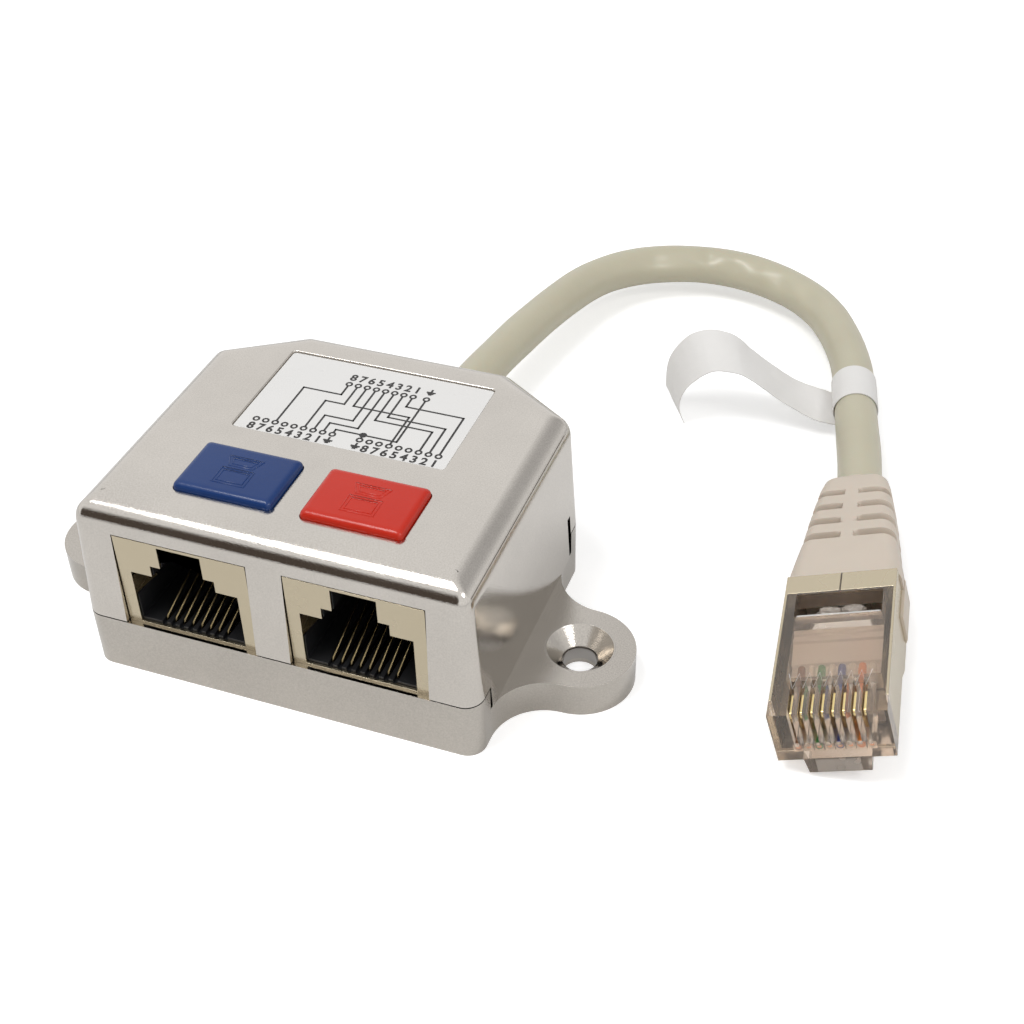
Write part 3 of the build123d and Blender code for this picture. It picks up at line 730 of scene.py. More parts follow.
def cover_ring(work, level, z, inset, line=0.0):
    """One ring of the cover, arched over the cable and pressed in along the side lines."""
    ring = []
    for point, side in housing_outline(inset):
        shift = math.copysign(line, -point.x) if side in ("left", "right") else 0.0
        height = z
        if level == 1 and side == "rear" and abs(point.x) < CABLE_HOLE:
            height = PARTING + math.sqrt(CABLE_HOLE**2 - point.x**2)
        ring.append(work.verts.new(Vector((point.x + shift, point.y, height)) * MM))
    return ring


def wall_faces(work, outer, inner):
    """Skin and lining of the walls, joined round every opening and free edge."""
    columns = housing_outline(0)
    count = len(columns)

    def stands(level, i):
        """Whether the wall is there between a column and the next, counted round."""
        return wall_stands(level, columns[i % count], columns[(i + 1) % count])

    for level in range(len(outer) - 1):
        up = level + 1
        for i in range(count):
            j = (i + 1) % count
            if not stands(level, i):
                continue
            work.faces.new((outer[level][i], outer[level][j], outer[up][j], outer[up][i]))
            if up >= len(inner):
                continue
            work.faces.new((inner[level][j], inner[level][i], inner[up][i], inner[up][j]))
            beside = (
                (level - 1, i, (level, i), (level, j)),
                (up, i, (up, j), (up, i)),
                (level, i - 1, (up, i), (level, i)),
                (level, i + 1, (level, j), (up, j)),
            )
            for near_level, near, (one, a), (two, b) in beside:
                if not stands(near_level, near):
                    work.faces.new((outer[two][b], outer[one][a], inner[one][a], inner[two][b]))


def recess(work, place):
    """Softly rounded rim, walls and floor of a recess in the roof. Returns the rim's outer loop."""
    x, y, half_x, half_y, radius, depth = place
    rings = []
    for inset, z in (*RECESS_RIM, (0, -depth)):
        rim = rounded_rectangle(half_x - inset, half_y - inset, radius - inset, 6)
        height = HOUSING_TOP + z
        rings.append([work.verts.new(Vector((x + px, y + py, height)) * MM) for px, py in rim])
    for high, low in zip(rings, rings[1:]):
        for i in range(len(high)):
            j = (i + 1) % len(high)
            work.faces.new((high[i], high[j], low[j], low[i]))
    work.faces.new(rings[-1])
    return rings[0]


def roof_faces(work, rim):
    """Flat roof inside its rounded edge, round the recesses for the label and the tiles."""
    loops = [rim, *(recess(work, place) for place in (LABEL_PLACE, *SEAT_PLACES))]
    edges = []
    for loop in loops:
        for i in range(len(loop)):
            edges.append(work.edges.get((loop[i], loop[(i + 1) % len(loop)])))
    bmesh.ops.triangle_fill(work, use_beauty=True, edges=edges)


def plated_cover():
    """Drafted hood with a rounded roof edge, side lines, socket windows, skirts and recesses."""
    work = bmesh.new()
    outer, inner = [], []
    for level, (z, inset, line) in enumerate(cover_profile()):
        outer.append(cover_ring(work, level, z, inset, line))
        if level < len(WALL_LEVELS):
            lining_z = CEILING if level == len(WALL_LEVELS) - 1 else z
            inner.append(cover_ring(work, level, lining_z, inset + WALL))
    wall_faces(work, outer, inner)
    work.faces.new(inner[-1])
    roof_faces(work, outer[-1])
    unused = [corner for corner in work.verts if not corner.link_faces]
    bmesh.ops.delete(work, geom=unused, context="VERTS")
    bmesh.ops.recalc_face_normals(work, faces=work.faces)
    mesh = bpy.data.meshes.new("plated_cover")
    work.to_mesh(mesh)
    work.free()
    cover = round_edges(link("plated_cover", mesh), 0.14, sharp=38)
    return piece(cover, ["cover"], "housing", satin_plating)


EAR_PLACES = ((-28.0, -4.2), (28.0, -4.2))
# Radius and height round the section of a countersink's lining.
SCREW_SEAT = (
    (3.74, 3.9), (3.72, 4.004), (3.62, 3.99), (3.50, 3.92), (3.38, 3.81), (2.2, 2.63),
    (1.95, 2.38), (1.86, 2.24), (1.83, 2.0), (1.83, 0.6), (2.1, 0.5), (2.1, 2.3),
)


def screw_seats():
    """Polished countersinks in the ears, with their rims and bores."""
    seats = []
    for x, y in EAR_PLACES:
        rings = [[(*point, z) for point in circle(radius, 96, x, y)] for radius, z in SCREW_SEAT]
        seat = lofted("screw_seat", rings, ends="joined")
        seat.data.set_sharp_from_angle(angle=math.radians(50))
        seats.append(seat)
    return piece(joined("screw_seats", seats), [], "housing", polished_plating)


def dress_housing():
    """Plated shells with softened edges, sockets and the board behind them."""
    plated_cover()
    screw_seats()
    faired_copy("base", 0.12, "housing", base_plating)
    faired_copy("circuit_board", 0.04, "board", board_mask)
    for side in ("left", "right"):
        faired_copy(f"{side}_jack_shield", 0.06, "nickel", nickel_sheet)
        faired_copy(f"{side}_jack_body", 0.06, "black", black_moulding)


# Sockets


SOCKET_X = 9.55
SOCKET_Y = -18.4
BOARD_TOP = 6.8
CONTACT_PITCH = 1.02
CONTACT_RADIUS = 0.12
# How far into the socket and how high above the board each bend of a contact is.
CONTACT_PATH = ((12.9, -2.4), (12.9, 0.27), (1.4, 0.27), (0.95, 0.45), (1.15, 0.75), (8.8, 3.37))


def socket_contacts(side, centre_x):
    """Eight gold spring wires in a socket, their gold darkened as painted shade for the dark inside
    of the socket.
    """
    first_x = centre_x - 3.5 * CONTACT_PITCH
    path = [(first_x, SOCKET_Y + into, BOARD_TOP + rise) for into, rise in CONTACT_PATH]
    wire = wire_along(f"{side}_socket_wires", path, CONTACT_RADIUS)
    row = in_a_row(wire, 8, (CONTACT_PITCH, 0, 0), painted_shade_gold)
    piece(row, [f"{side}_jack_contacts"], "gold", painted_shade_gold)


# Label and its print


LABEL_TOP = 21.2
LINE_WIDTH = 0.24
RING_INNER = 0.2
RING_OUTER = 0.42
RING_HEIGHT = 0.02
LINE_GAP = 0.3
DIGIT_SIZE = 1.587
EARTH_SIZE = 0.9
# Where pin 8 of each row stands, the pitch from there to pin 1, and how far off the numbers are.
PIN_ROWS = {
    "top": (-3.55, 9.9, 1.09, 1.25),
    "left": (-10.3, 0.85, 1.12, -1.3),
    "right": (2.93, 0.85, 1.12, -1.3),
}
# Each wire: from a pin of one row to a pin of another, and the level at which it crosses.
WIRES = (
    ("top", 8, "left", 6, 7.8),
    ("top", 7, "left", 3, 6.25),
    ("top", 6, "right", 6, 6.25),
    ("top", 5, "left", 2, 3.75),
    ("top", 4, "left", 1, 2.65),
    ("top", 3, "right", 3, 4.6),
    ("top", 2, "right", 2, 5.55),
    ("top", 1, "right", 1, 7.95),
)
# Where each ring for earth is, top, left and right, and how far off its sign is.
EARTHS = ((5.65, 9.9, 1.35), (-1.34, 0.85, -1.1), (1.82, 0.85, -1.1))
EARTH_LEVEL = 1.75


def pin_place(row, pin):
    """Place on the label of a pin's ring."""
    x, y, pitch, _ = PIN_ROWS[row]
    return x + (8 - pin) * pitch, y


def stroke(points, width, z, rise):
    """Corners and faces of one inked line of even width, in millimetres."""
    corners, faces = [], []
    for (x1, y1), (x2, y2) in zip(points, points[1:]):
        along = Vector((x2 - x1, y2 - y1)).normalized() * width / 2
        aside = Vector((-along.y, along.x))
        start, end = Vector((x1, y1)) - along, Vector((x2, y2)) + along
        first = len(corners)
        for height in (z, z + rise):
            for place in (start - aside, end - aside, end + aside, start + aside):
                corners.append((place.x, place.y, height))
        faces.append(tuple(first + i for i in (4, 5, 6, 7)))
        faces.append(tuple(first + i for i in (3, 2, 1, 0)))
        for i in range(4):
            j = (i + 1) % 4
            faces.append((first + i, first + j, first + j + 4, first + i + 4))
    return corners, faces


def ring_mark(name, x, y, inner=RING_INNER, rise=RING_HEIGHT):
    """Flat inked ring."""
    rings = []
    for radius, z in ((inner, 0), (RING_OUTER, 0), (RING_OUTER, rise), (inner, rise)):
        rings.append([(*point, LABEL_TOP + z) for point in circle(radius, 28, x, y)])
    return lofted(name, rings, ends="joined")


def digit(pin, x, y):
    """Printed pin number."""
    text = bpy.data.curves.new("pin_number", "FONT")
    text.body = str(pin)
    text.size = DIGIT_SIZE * MM
    text.align_x = "CENTER"
    text.align_y = "CENTER"
    text.extrude = 0.006 * MM
    text.offset = 0.05 * MM
    text.resolution_u = 3
    number = settle(link("pin_number", text))
    number.data.transform(Matrix.Translation(Vector((x, y, LABEL_TOP + 0.006)) * MM))
    return number


def earth_mark(x, y):
    """Three shrinking bars under a stem, the sign for earth."""
    lines = [[(x, y + EARTH_SIZE / 2), (x, y)]]
    for i, width in enumerate((0.9, 0.55, 0.2)):
        level = y - i * EARTH_SIZE * 0.22
        half = width * EARTH_SIZE / 2
        lines.append([(x - half, level), (x + half, level)])
    return lines


def lay_the_label():
    """White film in its recess."""
    low, high = (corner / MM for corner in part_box("diagram_label"))
    x, y = (low.x + high.x) / 2, (low.y + high.y) / 2
    rings = []
    for z, inset in ((low.z, 0.04), (LABEL_TOP - 0.03, 0.04), (LABEL_TOP, 0.07)):
        half_x, half_y = (high.x - low.x) / 2 - inset, (high.y - low.y) / 2 - inset
        rings.append([(x + px, y + py, z) for px, py in rounded_rectangle(half_x, half_y, 0.4, 8)])
    film = lofted("diagram_label_film", rings)
    piece(film, ["diagram_label"], "label", label_film)
    film.data.set_sharp_from_angle(angle=math.radians(30))


def wiring_lines():
    """Every inked line on the label, as one mesh."""
    lines = []
    for start, pin, end, port, level in WIRES:
        (x1, y1), (x2, y2) = pin_place(start, pin), pin_place(end, port)
        lines.append([(x1, y1 - LINE_GAP), (x1, level), (x2, level), (x2, y2 + LINE_GAP)])
    (x1, y1, _), (x2, y2, _), (x3, y3, _) = EARTHS
    earthed = [(x1, y1 - LINE_GAP), (x1, EARTH_LEVEL), (x2, EARTH_LEVEL), (x2, y2 + LINE_GAP)]
    lines += [earthed, [(x3, EARTH_LEVEL), (x3, y3 + LINE_GAP)]]
    for x, y, rise in EARTHS:
        lines += earth_mark(x, y + rise)
    corners, faces = [], []
    for number, line in enumerate(lines):
        more, sides = stroke(line, LINE_WIDTH, LABEL_TOP, 0.008 + 0.0003 * number)
        faces += [tuple(len(corners) + i for i in side) for side in sides]
        corners += more
    return link("wiring_lines", mesh_of("wiring_lines", corners, faces))


def print_the_label():
    """Wiring of the two sockets in black: lines, a ring at each pin and its number."""
    marks = [wiring_lines()]
    for row, (x, y, pitch, _) in PIN_ROWS.items():
        marks.append(in_a_row(ring_mark(f"{row}_rings", x, y), 8, (pitch, 0, 0), label_ink))
    for number, (x, y, _) in enumerate(EARTHS):
        marks.append(ring_mark(f"earth_ring_{number}", x, y))
    marks.append(ring_mark("junction", EARTHS[2][0], EARTH_LEVEL, 0.02, 0.022))
    for pin in range(1, 9):
        for row, (*_, rise) in PIN_ROWS.items():
            x, y = pin_place(row, pin)
            marks.append(digit(pin, x, y + rise))
    ink = joined("wiring_print", marks)
    piece(ink, [], "black", label_ink)
    for face in ink.data.polygons:
        face.material_index = 0
        face.use_smooth = False


# Coloured tiles


INSERT_HALF = (5.55, 3.9)
INSERT_TOP = 22.2
# Height, inset and corner radius of the rings from a tile's foot to its top.
INSERT_SECTIONS = (
    (20.45, 0.0, 0.45),
    (21.70, 0.03, 0.45),
    (21.86, 0.08, 0.45),
    (22.00, 0.18, 0.45),
    (22.11, 0.33, 0.42),
    (22.18, 0.52, 0.40),
    (INSERT_TOP, 0.75, 0.35),
)
OUTLINE_RADIUS = 0.13
SCREEN_SHIFT = 1.3
CASE_SHIFT = -1.1
SCREEN = ((-1.95, 0.75), (1.95, 0.75), (1.35, -0.7), (-1.35, -0.7))
GLASS = ((-1.4, 0.42), (1.4, 0.42), (1.05, -0.37), (-1.05, -0.37))
CASE = ((-1.8, 1.2), (1.8, 1.2), (1.8, -1.2), (-1.8, -1.2))
RIM = ((-1.45, 0.85), (1.45, 0.85), (1.45, -0.85), (-1.45, -0.85))


def colour_insert(name, node, centre_x, slot, material):
    """Moulded tile with a softly rounded rim and a raised outline of a screen on its case."""
    rings = []
    for z, inset, radius in INSERT_SECTIONS:
        half_x, half_y = INSERT_HALF[0] - inset, INSERT_HALF[1] - inset
        skin = rounded_rectangle(half_x, half_y, radius, 6)
        rings.append([(centre_x + x, INSERT_Y + y, z) for x, y in skin])
    parts = [lofted(name, rings)]
    for outlines, shift in (((SCREEN, GLASS), SCREEN_SHIFT), ((CASE, RIM), CASE_SHIFT)):
        for outline in outlines:
            loop = [(centre_x + x, INSERT_Y + shift + y, INSERT_TOP - 0.05) for x, y in outline]
            parts.append(wire_along("raised_outline", loop + loop[:2], OUTLINE_RADIUS))
    tile = joined(name, parts)
    tile.data.set_sharp_from_angle(angle=math.radians(50))
    for face in tile.data.polygons:
        face.material_index = 0
    return piece(tile, [node], slot, material)


# Patch lead


CABLE_RADIUS = 2.6
ROUTE = (
    (0.0, 13.71, 6.8),
    (0.0, 27.3, 6.8),
    (3.2, 52.9, 5.9),
    (8.2, 70.3, 4.9),
    (22.9, 77.3, 4.3),
    (37.2, 72.4, 4.0),
    (44.6, 59.7, 4.0),
    (47.6, 46.1, 4.1),
    (50.4, 34.2, 4.35),
    (51.1, 28.4, 4.5),
)


def centreline(name, route, detail):
    """Points in millimetres along the smooth curve that the route's corners control."""
    curve = bpy.data.curves.new(name, "CURVE")
    curve.dimensions = "3D"
    curve.resolution_u = detail
    spline = curve.splines.new("NURBS")
    spline.points.add(len(route) - 1)
    for point, corner in zip(spline.points, route):
        point.co = (*(Vector(corner) * MM), 1)
    spline.order_u = 3
    spline.use_endpoint_u = True
    line = link(name, curve)
    mesh = as_mesh(line)
    points = [corner.co / MM for corner in mesh.vertices]
    bpy.data.objects.remove(line)
    bpy.data.meshes.remove(mesh)
    return points


def frames_along(points):
    """Direction and two cross directions at every point, turning as little as they can."""
    frames = []
    side = Vector((0, 0, 1))
    for i, point in enumerate(points):
        ahead = points[min(i + 1, len(points) - 1)] - points[max(i - 1, 0)]
        ahead.normalize()
        side = (side - ahead * side.dot(ahead)).normalized()
        frames.append((point, ahead, side, ahead.cross(side)))
    return frames


def tube(name, points, radius_at, around=64):
    """Closed tube along points, with a radius that may change with length and turn."""
    rings, length = [], 0.0
    for i, (point, ahead, up, side) in enumerate(frames_along(points)):
        if i:
            length += (point - points[i - 1]).length
        ring = []
        for k in range(around):
            turn = 2 * math.pi * k / around
            out = up * math.cos(turn) + side * math.sin(turn)
            ring.append(point + out * radius_at(length, turn, point))
        rings.append(ring)
    return lofted(name, rings)


# Height in millimetres and fineness of the soft random waves in a surface.
JACKET_WAVES = ((0.030, 0.22), (0.012, 0.9))
PAPER_WAVES = ((0.16, 0.35), (0.06, 1.1))
TWIST_HEIGHT = 0.018
TWIST_PITCH = 14
# Dents: how far along the lead, which way they face in radians, how deep and how long they are.
DENTS = (
    (63.5, 0.85, 0.42, 3.6),
    (70.3, 0.60, 0.45, 1.3),
    (74.8, 1.00, 0.34, 1.6),
    (77.6, 0.55, 0.22, 1.2),
    (82.6, 0.90, 0.38, 1.7),
    (88.6, 0.70, 0.34, 2.4),
)
DENT_SPREAD = 0.5


def unevenness(place, waves):
    """Height of soft random waves at a place."""
    return sum(height * noise.noise(place * fineness) for height, fineness in waves)


def jacket_radius(length, turn, point):
    """Round jacket over twisted pairs, with the dents and creases of the tight bend."""
    twist = TWIST_HEIGHT * math.sin(2 * turn + 2 * math.pi * length / TWIST_PITCH)
    dents = 0.0
    for at, facing, depth, reach in DENTS:
        aside = math.remainder(turn - facing, 2 * math.pi) / DENT_SPREAD
        dents += depth * math.exp(-(((length - at) / reach) ** 2) - aside**2)
    return CABLE_RADIUS + twist + unevenness(point, JACKET_WAVES) - dents


# Tag


TAG_CENTRE = (46.7, 50.2, 4.07)
TAG_WIDTH = 6.2
TAG_GAP = 0.16
TAG_STEPS = 14
TAG_AROUND = 72
PAPER = 0.12
# Bends of the flag's two long edges: sideways from the lead and up.
TAG_NEAR_EDGE = (
    (0.6, -2.72), (2.5, -2.3), (5.4, -1.6), (8.0, 0.0), (10.6, 1.8), (12.8, 3.5), (14.65, 4.6),
    (16.75, 4.9), (18.8, 4.4), (20.5, 3.0), (21.6, 1.2), (22.05, -0.6), (21.8, -2.2), (21.2, -3.5),
)
TAG_FAR_EDGE = (
    (0.6, -2.72), (2.5, -1.3), (5.0, -0.9), (8.4, 0.6), (11.0, 2.5), (13.3, 4.3), (15.2, 6.05),
    (17.05, 6.85), (18.8, 7.0), (20.6, 6.45), (22.3, 4.95), (23.6, 2.7), (24.0, 0.3), (23.9, -1.9),
)


def nearest(points, place):
    """Index of the centreline point nearest to a place."""
    return min(range(len(points)), key=lambda i: (points[i] - Vector(place)).length)


def tag_flag(centre, ahead, aside, rise):
    """Free end of the tag, curling between its two edges."""
    edges = []
    for edge, offset in ((TAG_NEAR_EDGE, TAG_WIDTH / 2), (TAG_FAR_EDGE, -TAG_WIDTH / 2)):
        corners = [centre + ahead * offset + aside * x + rise * z for x, z in edge]
        edges.append(centreline("tag_edge", corners, 8))
    corners, faces = [], []
    for near, far in zip(*edges):
        for k in range(TAG_STEPS + 1):
            place = near.lerp(far, k / TAG_STEPS)
            corners.append(place + rise * unevenness(place, PAPER_WAVES))
    row = TAG_STEPS + 1
    for i in range(len(corners) // row - 1):
        for k in range(TAG_STEPS):
            first = i * row + k
            faces.append((first, first + 1, first + row + 1, first + row))
    return link("tag_flag", mesh_of("tag_flag", corners, faces))


def tag_band(centre, ahead, aside, rise):
    """Part of the tag that closes round the lead."""
    rings = []
    for k in range(TAG_STEPS + 1):
        offset = TAG_WIDTH * (k / TAG_STEPS - 0.5)
        ring = []
        for x, z in circle(1.0, TAG_AROUND):
            uneven = 0.03 * noise.noise(Vector((x, z, offset * 0.5)))
            radius = CABLE_RADIUS + TAG_GAP + uneven
            ring.append(centre + ahead * offset + (aside * x + rise * z) * radius)
        rings.append(ring)
    return link("tag_band", loft(rings, "tag_band", ends="open"))


def paper_tag(points):
    """Paper band round the lead, with its free end curling up as a flag."""
    at = nearest(points, TAG_CENTRE)
    ahead = (points[at + 3] - points[at - 3]).normalized()
    aside = ahead.cross(Vector((0, 0, 1))).normalized()
    if aside.x > 0:
        aside = -aside
    rise = aside.cross(ahead)
    if rise.z < 0:
        rise = -rise
    set_up = (points[at], ahead, aside, rise)
    tag = joined("paper_tag", [tag_flag(*set_up), tag_band(*set_up)])
    thick = tag.modifiers.new("paper", "SOLIDIFY")
    thick.thickness = PAPER * MM
    thick.offset = 0
    tag = settle(tag)
    tag.data.shade_smooth()
    tag.data.set_sharp_from_angle(angle=math.radians(40))
    return piece(tag, ["cable_tag"], "paper", tag_paper)


# Boot and plug, in the plug's own frame: x across, y back from the nose, z up from its top


PLUG_NOSE = (54.49, -10.12, 9.1)
PLUG_FRAME = (
    Matrix.Translation(Vector(PLUG_NOSE))
    @ Matrix.Rotation(math.radians(6.6), 4, "Z")
    @ Matrix.Rotation(math.radians(-1.5), 4, "X")
    @ Matrix.Rotation(math.radians(-16.8), 4, "Y")
)
PLUG_AXIS = -3.7
# Place behind the nose, width and height of the boot.
BOOT_SECTIONS = (
    (21.42, 12.0, 7.3),
    (23.0, 11.9, 7.3),
    (25.2, 11.3, 7.2),
    (28.8, 10.2, 7.1),
    (32.0, 9.6, 7.0),
    (35.0, 8.9, 6.9),
    (38.1, 8.1, 6.7),
    (39.6, 7.4, 6.5),
    (40.3, 6.3, 5.8),
)
BOOT_CORNER = 1.6
BOOT_SLOTS = (28.4, 31.1, 33.8, 36.5)
SLOT_WIDTH = 0.85
SLOT_DEPTH = 1.8
SPINE = 1.9
BOOT_STEPS = 230
CORNER_POINTS = 12
FLAT_POINTS = 22
# Radius of the boot's mouth round the lead, and how far past the boot's end it is.
BOOT_MOUTH = ((2.95, 0.05), (2.75, 0.0), (2.68, -0.3), (2.66, -2.0))
COLLAR_ENDS = ((17.0, 0.06), (17.08, 0.0), (22.9, 0.0), (23.0, 0.06))
COLLAR_INSIDE = ((5.8, -3.0), (5.8, -6.6), (5.4, -7.0), (-5.4, -7.0), (-5.8, -6.6), (-5.8, -3.0))


def on_plug(x, y, z):
    """Place in the row frame, in millimetres, of a place on the plug."""
    return PLUG_FRAME @ Vector((x, y, z))


def smooth_step(value):
    """Soft change from 0 to 1."""
    value = min(max(value, 0.0), 1.0)
    return value * value * (3 - 2 * value)


def boot_size_at(back):
    """Width and height of the boot this far behind the nose."""
    for (y1, w1, h1), (y2, w2, h2) in zip(BOOT_SECTIONS, BOOT_SECTIONS[1:]):
        if back <= y2:
            share = max(0.0, (back - y1) / (y2 - y1))
            return w1 + (w2 - w1) * share, h1 + (h2 - h1) * share
    return BOOT_SECTIONS[-1][1:]


def slot_depth_at(back, x, z):
    """How deep the boot's bending slots cut in at a place on its skin."""
    nearest_slot = min(abs(back - slot) for slot in BOOT_SLOTS)
    in_slot = smooth_step((SLOT_WIDTH / 2 + 0.12 - nearest_slot) / 0.26)
    beside_spine = smooth_step((abs(x) - SPINE / 2 + 0.1) / 0.25)
    over_spine = smooth_step((abs(z) - SPINE / 2 + 0.1) / 0.25)
    return SLOT_DEPTH * in_slot * beside_spine * over_spine


def boot_ring(back, shrink=0.0):
    """One ring of the boot's skin with its slots pressed in."""
    width, height = boot_size_at(back)
    half_x, half_z = width / 2 - shrink, height / 2 - shrink
    corner = min(BOOT_CORNER, half_x - 0.2, half_z - 0.2)
    bends = []
    for turn, sign_x, sign_z in QUADRANTS:
        centre = Vector((sign_x * (half_x - corner), sign_z * (half_z - corner)))
        outs = [heading(turn + 90 * i / CORNER_POINTS) for i in range(CORNER_POINTS + 1)]
        bends.append([(centre + out * corner, out) for out in outs])
    ring = []
    for bend, following in zip(bends, bends[1:] + bends[:1]):
        here, out = bend[-1]
        there = following[0][0]
        flat = [(here.lerp(there, k / FLAT_POINTS), out) for k in range(1, FLAT_POINTS)]
        for place, out in bend + flat:
            pressed = place - out * slot_depth_at(back, place.x, place.y)
            ring.append(on_plug(pressed.x, back, PLUG_AXIS + pressed.y))
    return ring


def boot_mouth(last_ring, radius, back):
    """Round ring inside the boot's end, point for point like the ring before it."""
    ring = []
    for point in last_ring:
        local = PLUG_FRAME.inverted() @ point
        out = Vector((local.x, local.z - PLUG_AXIS)).normalized()
        ring.append(on_plug(out.x * radius, back, PLUG_AXIS + out.y * radius))
    return ring


def boot_collar():
    """Soft collar that reaches under the plug."""
    rings = []
    for back, inset in COLLAR_ENDS:
        outside = [
            (-6.1 + inset, -3.0),
            *arc((-4.7, -5.9), 1.4 - inset, 180, 270, 8),
            *arc((4.7, -5.9), 1.4 - inset, 270, 360, 8),
            (6.1 - inset, -3.0),
        ]
        rings.append([on_plug(x, back, z) for x, z in (*outside, *COLLAR_INSIDE)])
    return lofted("boot_collar", rings)


def strain_boot():
    """Soft grip: tapering, slotted on both sides of a spine, with a collar under the plug."""
    start, end = BOOT_SECTIONS[0][0], BOOT_SECTIONS[-1][0]
    rings = [boot_ring(start + 0.02, 3.0), boot_ring(start + 0.01, 0.2)]
    for i in range(BOOT_STEPS + 1):
        rings.append(boot_ring(start + (end - start) * i / BOOT_STEPS))
    rings += [boot_mouth(rings[-1], radius, end + past) for radius, past in BOOT_MOUTH]
    boot = joined("strain_boot", [lofted("strain_boot", rings), boot_collar()])
    boot.data.set_sharp_from_angle(angle=math.radians(50))
    return piece(boot, ["plug_boot"], "boot", boot_rubber)


CORE_RADIUS = 0.425
CORE_ROW = -4.7
CORE_COLOURS = ("brown", "white", "green", "white", "blue", "white", "orange", "white")
# Place behind the nose and rise above the row of each ring of a core's jacket.
CORE_PATH = (
    (0.66, 0.0), (5.6, 0.0), (6.3, 0.12), (7.5, 1.1), (8.1, 1.38), (8.7, 1.45),
    (9.3, 1.4), (10.4, 0.9), (12.0, 0.2), (14.4, 0.0),
)
CORE_END = 0.62
COPPER_RADIUS = 0.23
BEVEL_RADIUS = 0.40


def core_ring(x, back, rise, radius):
    """One ring of a core."""
    middle = CORE_ROW + rise
    return [on_plug(px, back, pz) for px, pz in circle(radius, 24, x, middle)]


def plug_cores():
    """Eight insulated cores that rise through the load bar, with copper at their cut ends."""
    pieces = []
    for number, colour in enumerate(CORE_COLOURS, start=1):
        x = (number - 4.5) * CONTACT_PITCH
        rings = [core_ring(x, CORE_END, 0, radius) for radius in (COPPER_RADIUS, BEVEL_RADIUS)]
        rings += [core_ring(x, back, rise, CORE_RADIUS) for back, rise in CORE_PATH]
        core = lofted(f"core_{number}", rings)
        core.data.set_sharp_from_angle(angle=math.radians(40))
        finishes = (core_finish[colour], copper_wire)
        core = piece(core, [f"plug_core_{number}"], f"{colour}_core", *finishes)
        for face in core.data.polygons:
            local = [PLUG_FRAME.inverted() @ (core.data.vertices[v].co / MM) for v in face.vertices]
            at_the_end = all(abs(corner.y - CORE_END) < 0.01 for corner in local)
            if at_the_end and len(face.vertices) > 4:
                face.material_index = 1
        pieces.append(core)
    return pieces


# Outlines seen from the side: place behind the nose and height below the plug's top.
BLADE_OUTLINE = (
    (1.0, -1.55), (0.64, -1.1), (0.62, -0.74), (0.86, -0.5), (3.35, -0.5), (3.6, -0.75),
    (3.6, -1.5), (3.4, -4.25), (2.3, -4.25), (1.7, -2.2),
)
BLADE_THICKNESS = 0.34
BAR_OUTLINE = (
    (6.8, -5.4), (6.8, -4.4), (7.6, -3.3), (9.2, -3.1), (9.35, -2.7), (12.0, -2.35),
    (12.1, -2.05), (12.6, -2.05), (12.7, -2.3), (13.1, -2.3), (13.2, -1.98), (13.8, -1.98),
    (13.8, -5.4),
)
BAR_HALF = 4.6
CRIMP_OUTLINE = ((14.7, -0.35), (15.1, -0.25), (15.45, -0.5), (15.4, -1.5), (14.7, -1.7))
CRIMP_HALF = 4.35
JACKET_LOBES = ((-1.3, 17.3, -1.9), (1.25, 17.35, -1.85))
LOBE_SIZE = (1.3, 0.55, 0.5)
LOBE_SWELL = 0.32
COMB_BACK = 5.9
COMB_FRONT = 3.7
GATE_MARK = (0.1, 0.14, -7.45)
GATE_RADIUS = 0.42
# Side outline and half width of a thin hazy plate on the latch's front: painted light that lifts
# the latch's shaded face.
LATCH_PAINTED_LIGHT = ((0.2, -6.2), (0.14, -6.25), (0.14, -7.9), (0.2, -7.95))
LATCH_PAINTED_LIGHT_HALF = 2.2


def across_plug(name, outline, start, end, rounding):
    """Solid with one side outline, from one place to another across the plug, its edges rounded."""
    rings = [[on_plug(x, back, z) for back, z in outline] for x in (start, end)]
    return round_edges(lofted(name, rings), rounding)


def plug_blades():
    """Eight gold blades, each standing back from the nose below its front corner."""
    first_x = -3.5 * CONTACT_PITCH
    half = BLADE_THICKNESS / 2
    blade = across_plug("plug_blades", BLADE_OUTLINE, first_x - half, first_x + half, 0.06)
    step = PLUG_FRAME.to_3x3() @ Vector((CONTACT_PITCH, 0, 0))
    return piece(in_a_row(blade, 8, step, gold_plating), ["plug_contacts"], "gold", gold_plating)


def crushed_jacket():
    """End of the jacket, squeezed into two lobes behind the crimp bar."""
    work = bmesh.new()
    for place in JACKET_LOBES:
        lobe = bmesh.ops.create_icosphere(work, subdivisions=4, radius=1.0)["verts"]
        for corner in lobe:
            swell = 1 + LOBE_SWELL * noise.noise(corner.co * 2.4 + Vector(place))
            local = [place[i] + corner.co[i] * LOBE_SIZE[i] * swell for i in range(3)]
            corner.co = on_plug(*local) * MM
    mesh = bpy.data.meshes.new("crushed_jacket")
    work.to_mesh(mesh)
    work.free()
    mesh.shade_smooth()
    return piece(link("crushed_jacket", mesh), [], "jacket", hazy_moulding)


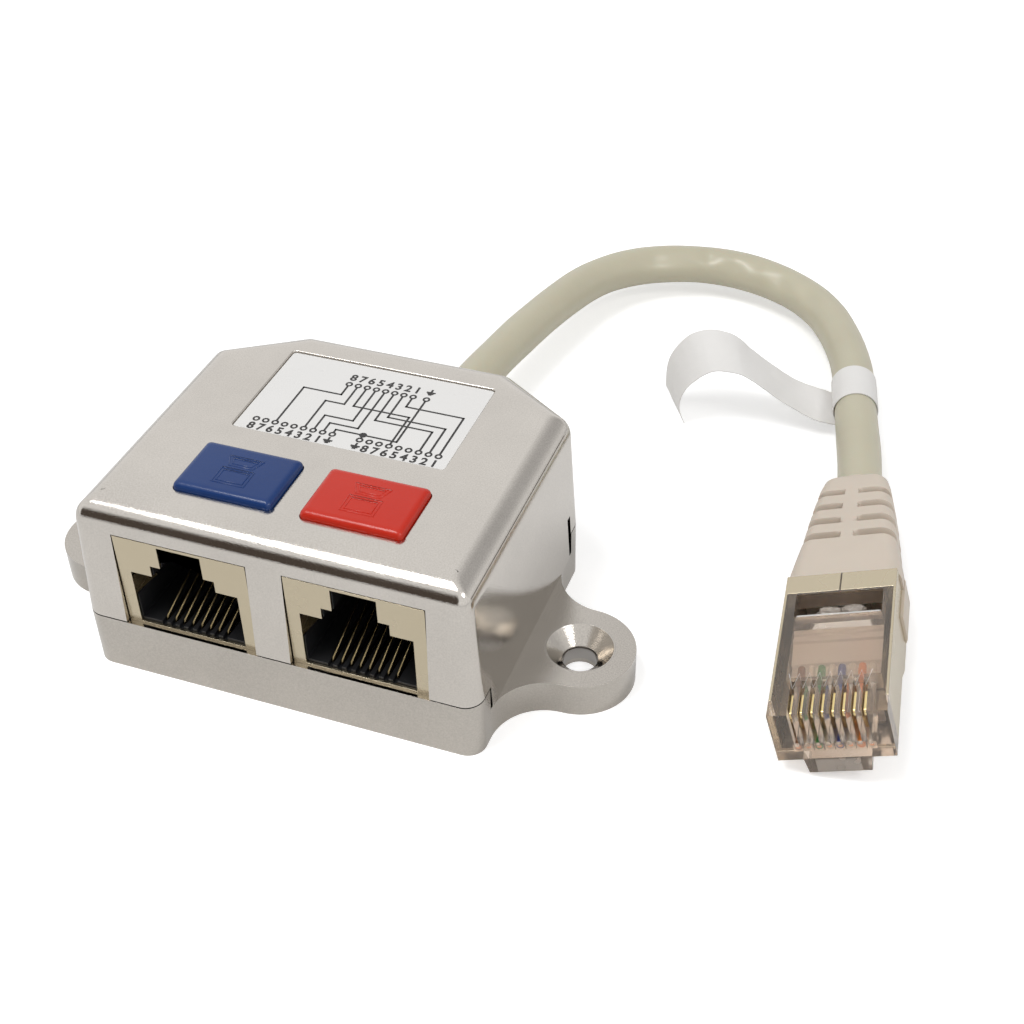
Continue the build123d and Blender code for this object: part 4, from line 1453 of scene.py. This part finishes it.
def comb_lines():
    """Zigzag of fine moulded lines behind the blades."""
    comb = []
    for number in range(9):
        x = (number - 4) * CONTACT_PITCH
        comb.append(on_plug(x, COMB_BACK, 0.0))
        if number < 8:
            comb.append(on_plug(x + CONTACT_PITCH / 2, COMB_FRONT, 0.0))
    return piece(wire_along("comb_lines", comb, 0.045), [], "clear", milky_moulding)


def latch_marks():
    """Hazy plate on the latch's front, painted light that makes the shaded latch lighter, with the
    round mark that its moulding leaves.
    """
    x, back, z = GATE_MARK
    ring = [on_plug(px, back, pz) for px, pz in circle(GATE_RADIUS, 32, x, z)]
    mark = wire_along("gate_mark", ring + ring[:2], 0.05)
    face = across_plug("latch_painted_light", LATCH_PAINTED_LIGHT, -LATCH_PAINTED_LIGHT_HALF, LATCH_PAINTED_LIGHT_HALF, 0.02)
    return piece(joined("latch_marks", [face, mark]), [], "clear", hazy_moulding)


def dress_plug():
    """Clear plug with its sheet-metal shell, blades, load bar, crimp, cores and foil."""
    load_bar = across_plug("load_bar", BAR_OUTLINE, -BAR_HALF, BAR_HALF, 0.07)
    crimp_bar = across_plug("crimp_bar", CRIMP_OUTLINE, -CRIMP_HALF, CRIMP_HALF, 0.15)
    return [
        faired_copy("plug_shield", 0.05, "nickel", nickel_sheet),
        faired_copy("plug_body", 0.10, "clear", clear_moulding),
        plug_blades(),
        piece(load_bar, ["plug_load_bar"], "white_plastic", milky_moulding),
        piece(crimp_bar, [], "clear", milky_moulding),
        crushed_jacket(),
        comb_lines(),
        latch_marks(),
        faired_copy("plug_bundle", 0.05, "foil", crumpled_foil),
        *plug_cores(),
    ]


def dress_inner_cable():
    """Clamping ring and the cores on the board, hidden behind the sockets."""
    faired_copy("cable_ring", 0.1, "black", black_moulding)
    faired_copy("board_wires", 0.04, "white_core", core_finish["white"])


bpy.context.scene.view_settings.view_transform = "Standard"
place_camera()
light_the_studio()
lay_the_table()
dress_housing()
socket_contacts("left", -SOCKET_X)
socket_contacts("right", SOCKET_X)
lay_the_label()
print_the_label()
colour_insert("blue_tile", "blue_insert", -INSERT_X, "blue", blue_moulding)
colour_insert("red_tile", "red_insert", INSERT_X, "red", red_moulding)
dress_inner_cable()
lead_line = centreline("lead_line", ROUTE, 24)
lead = tube("patch_lead", lead_line, jacket_radius)
piece(lead, ["cable"], "jacket", lead_jacket)
tag = paper_tag(lead_line)
boot = strain_boot()
plug = dress_plug()
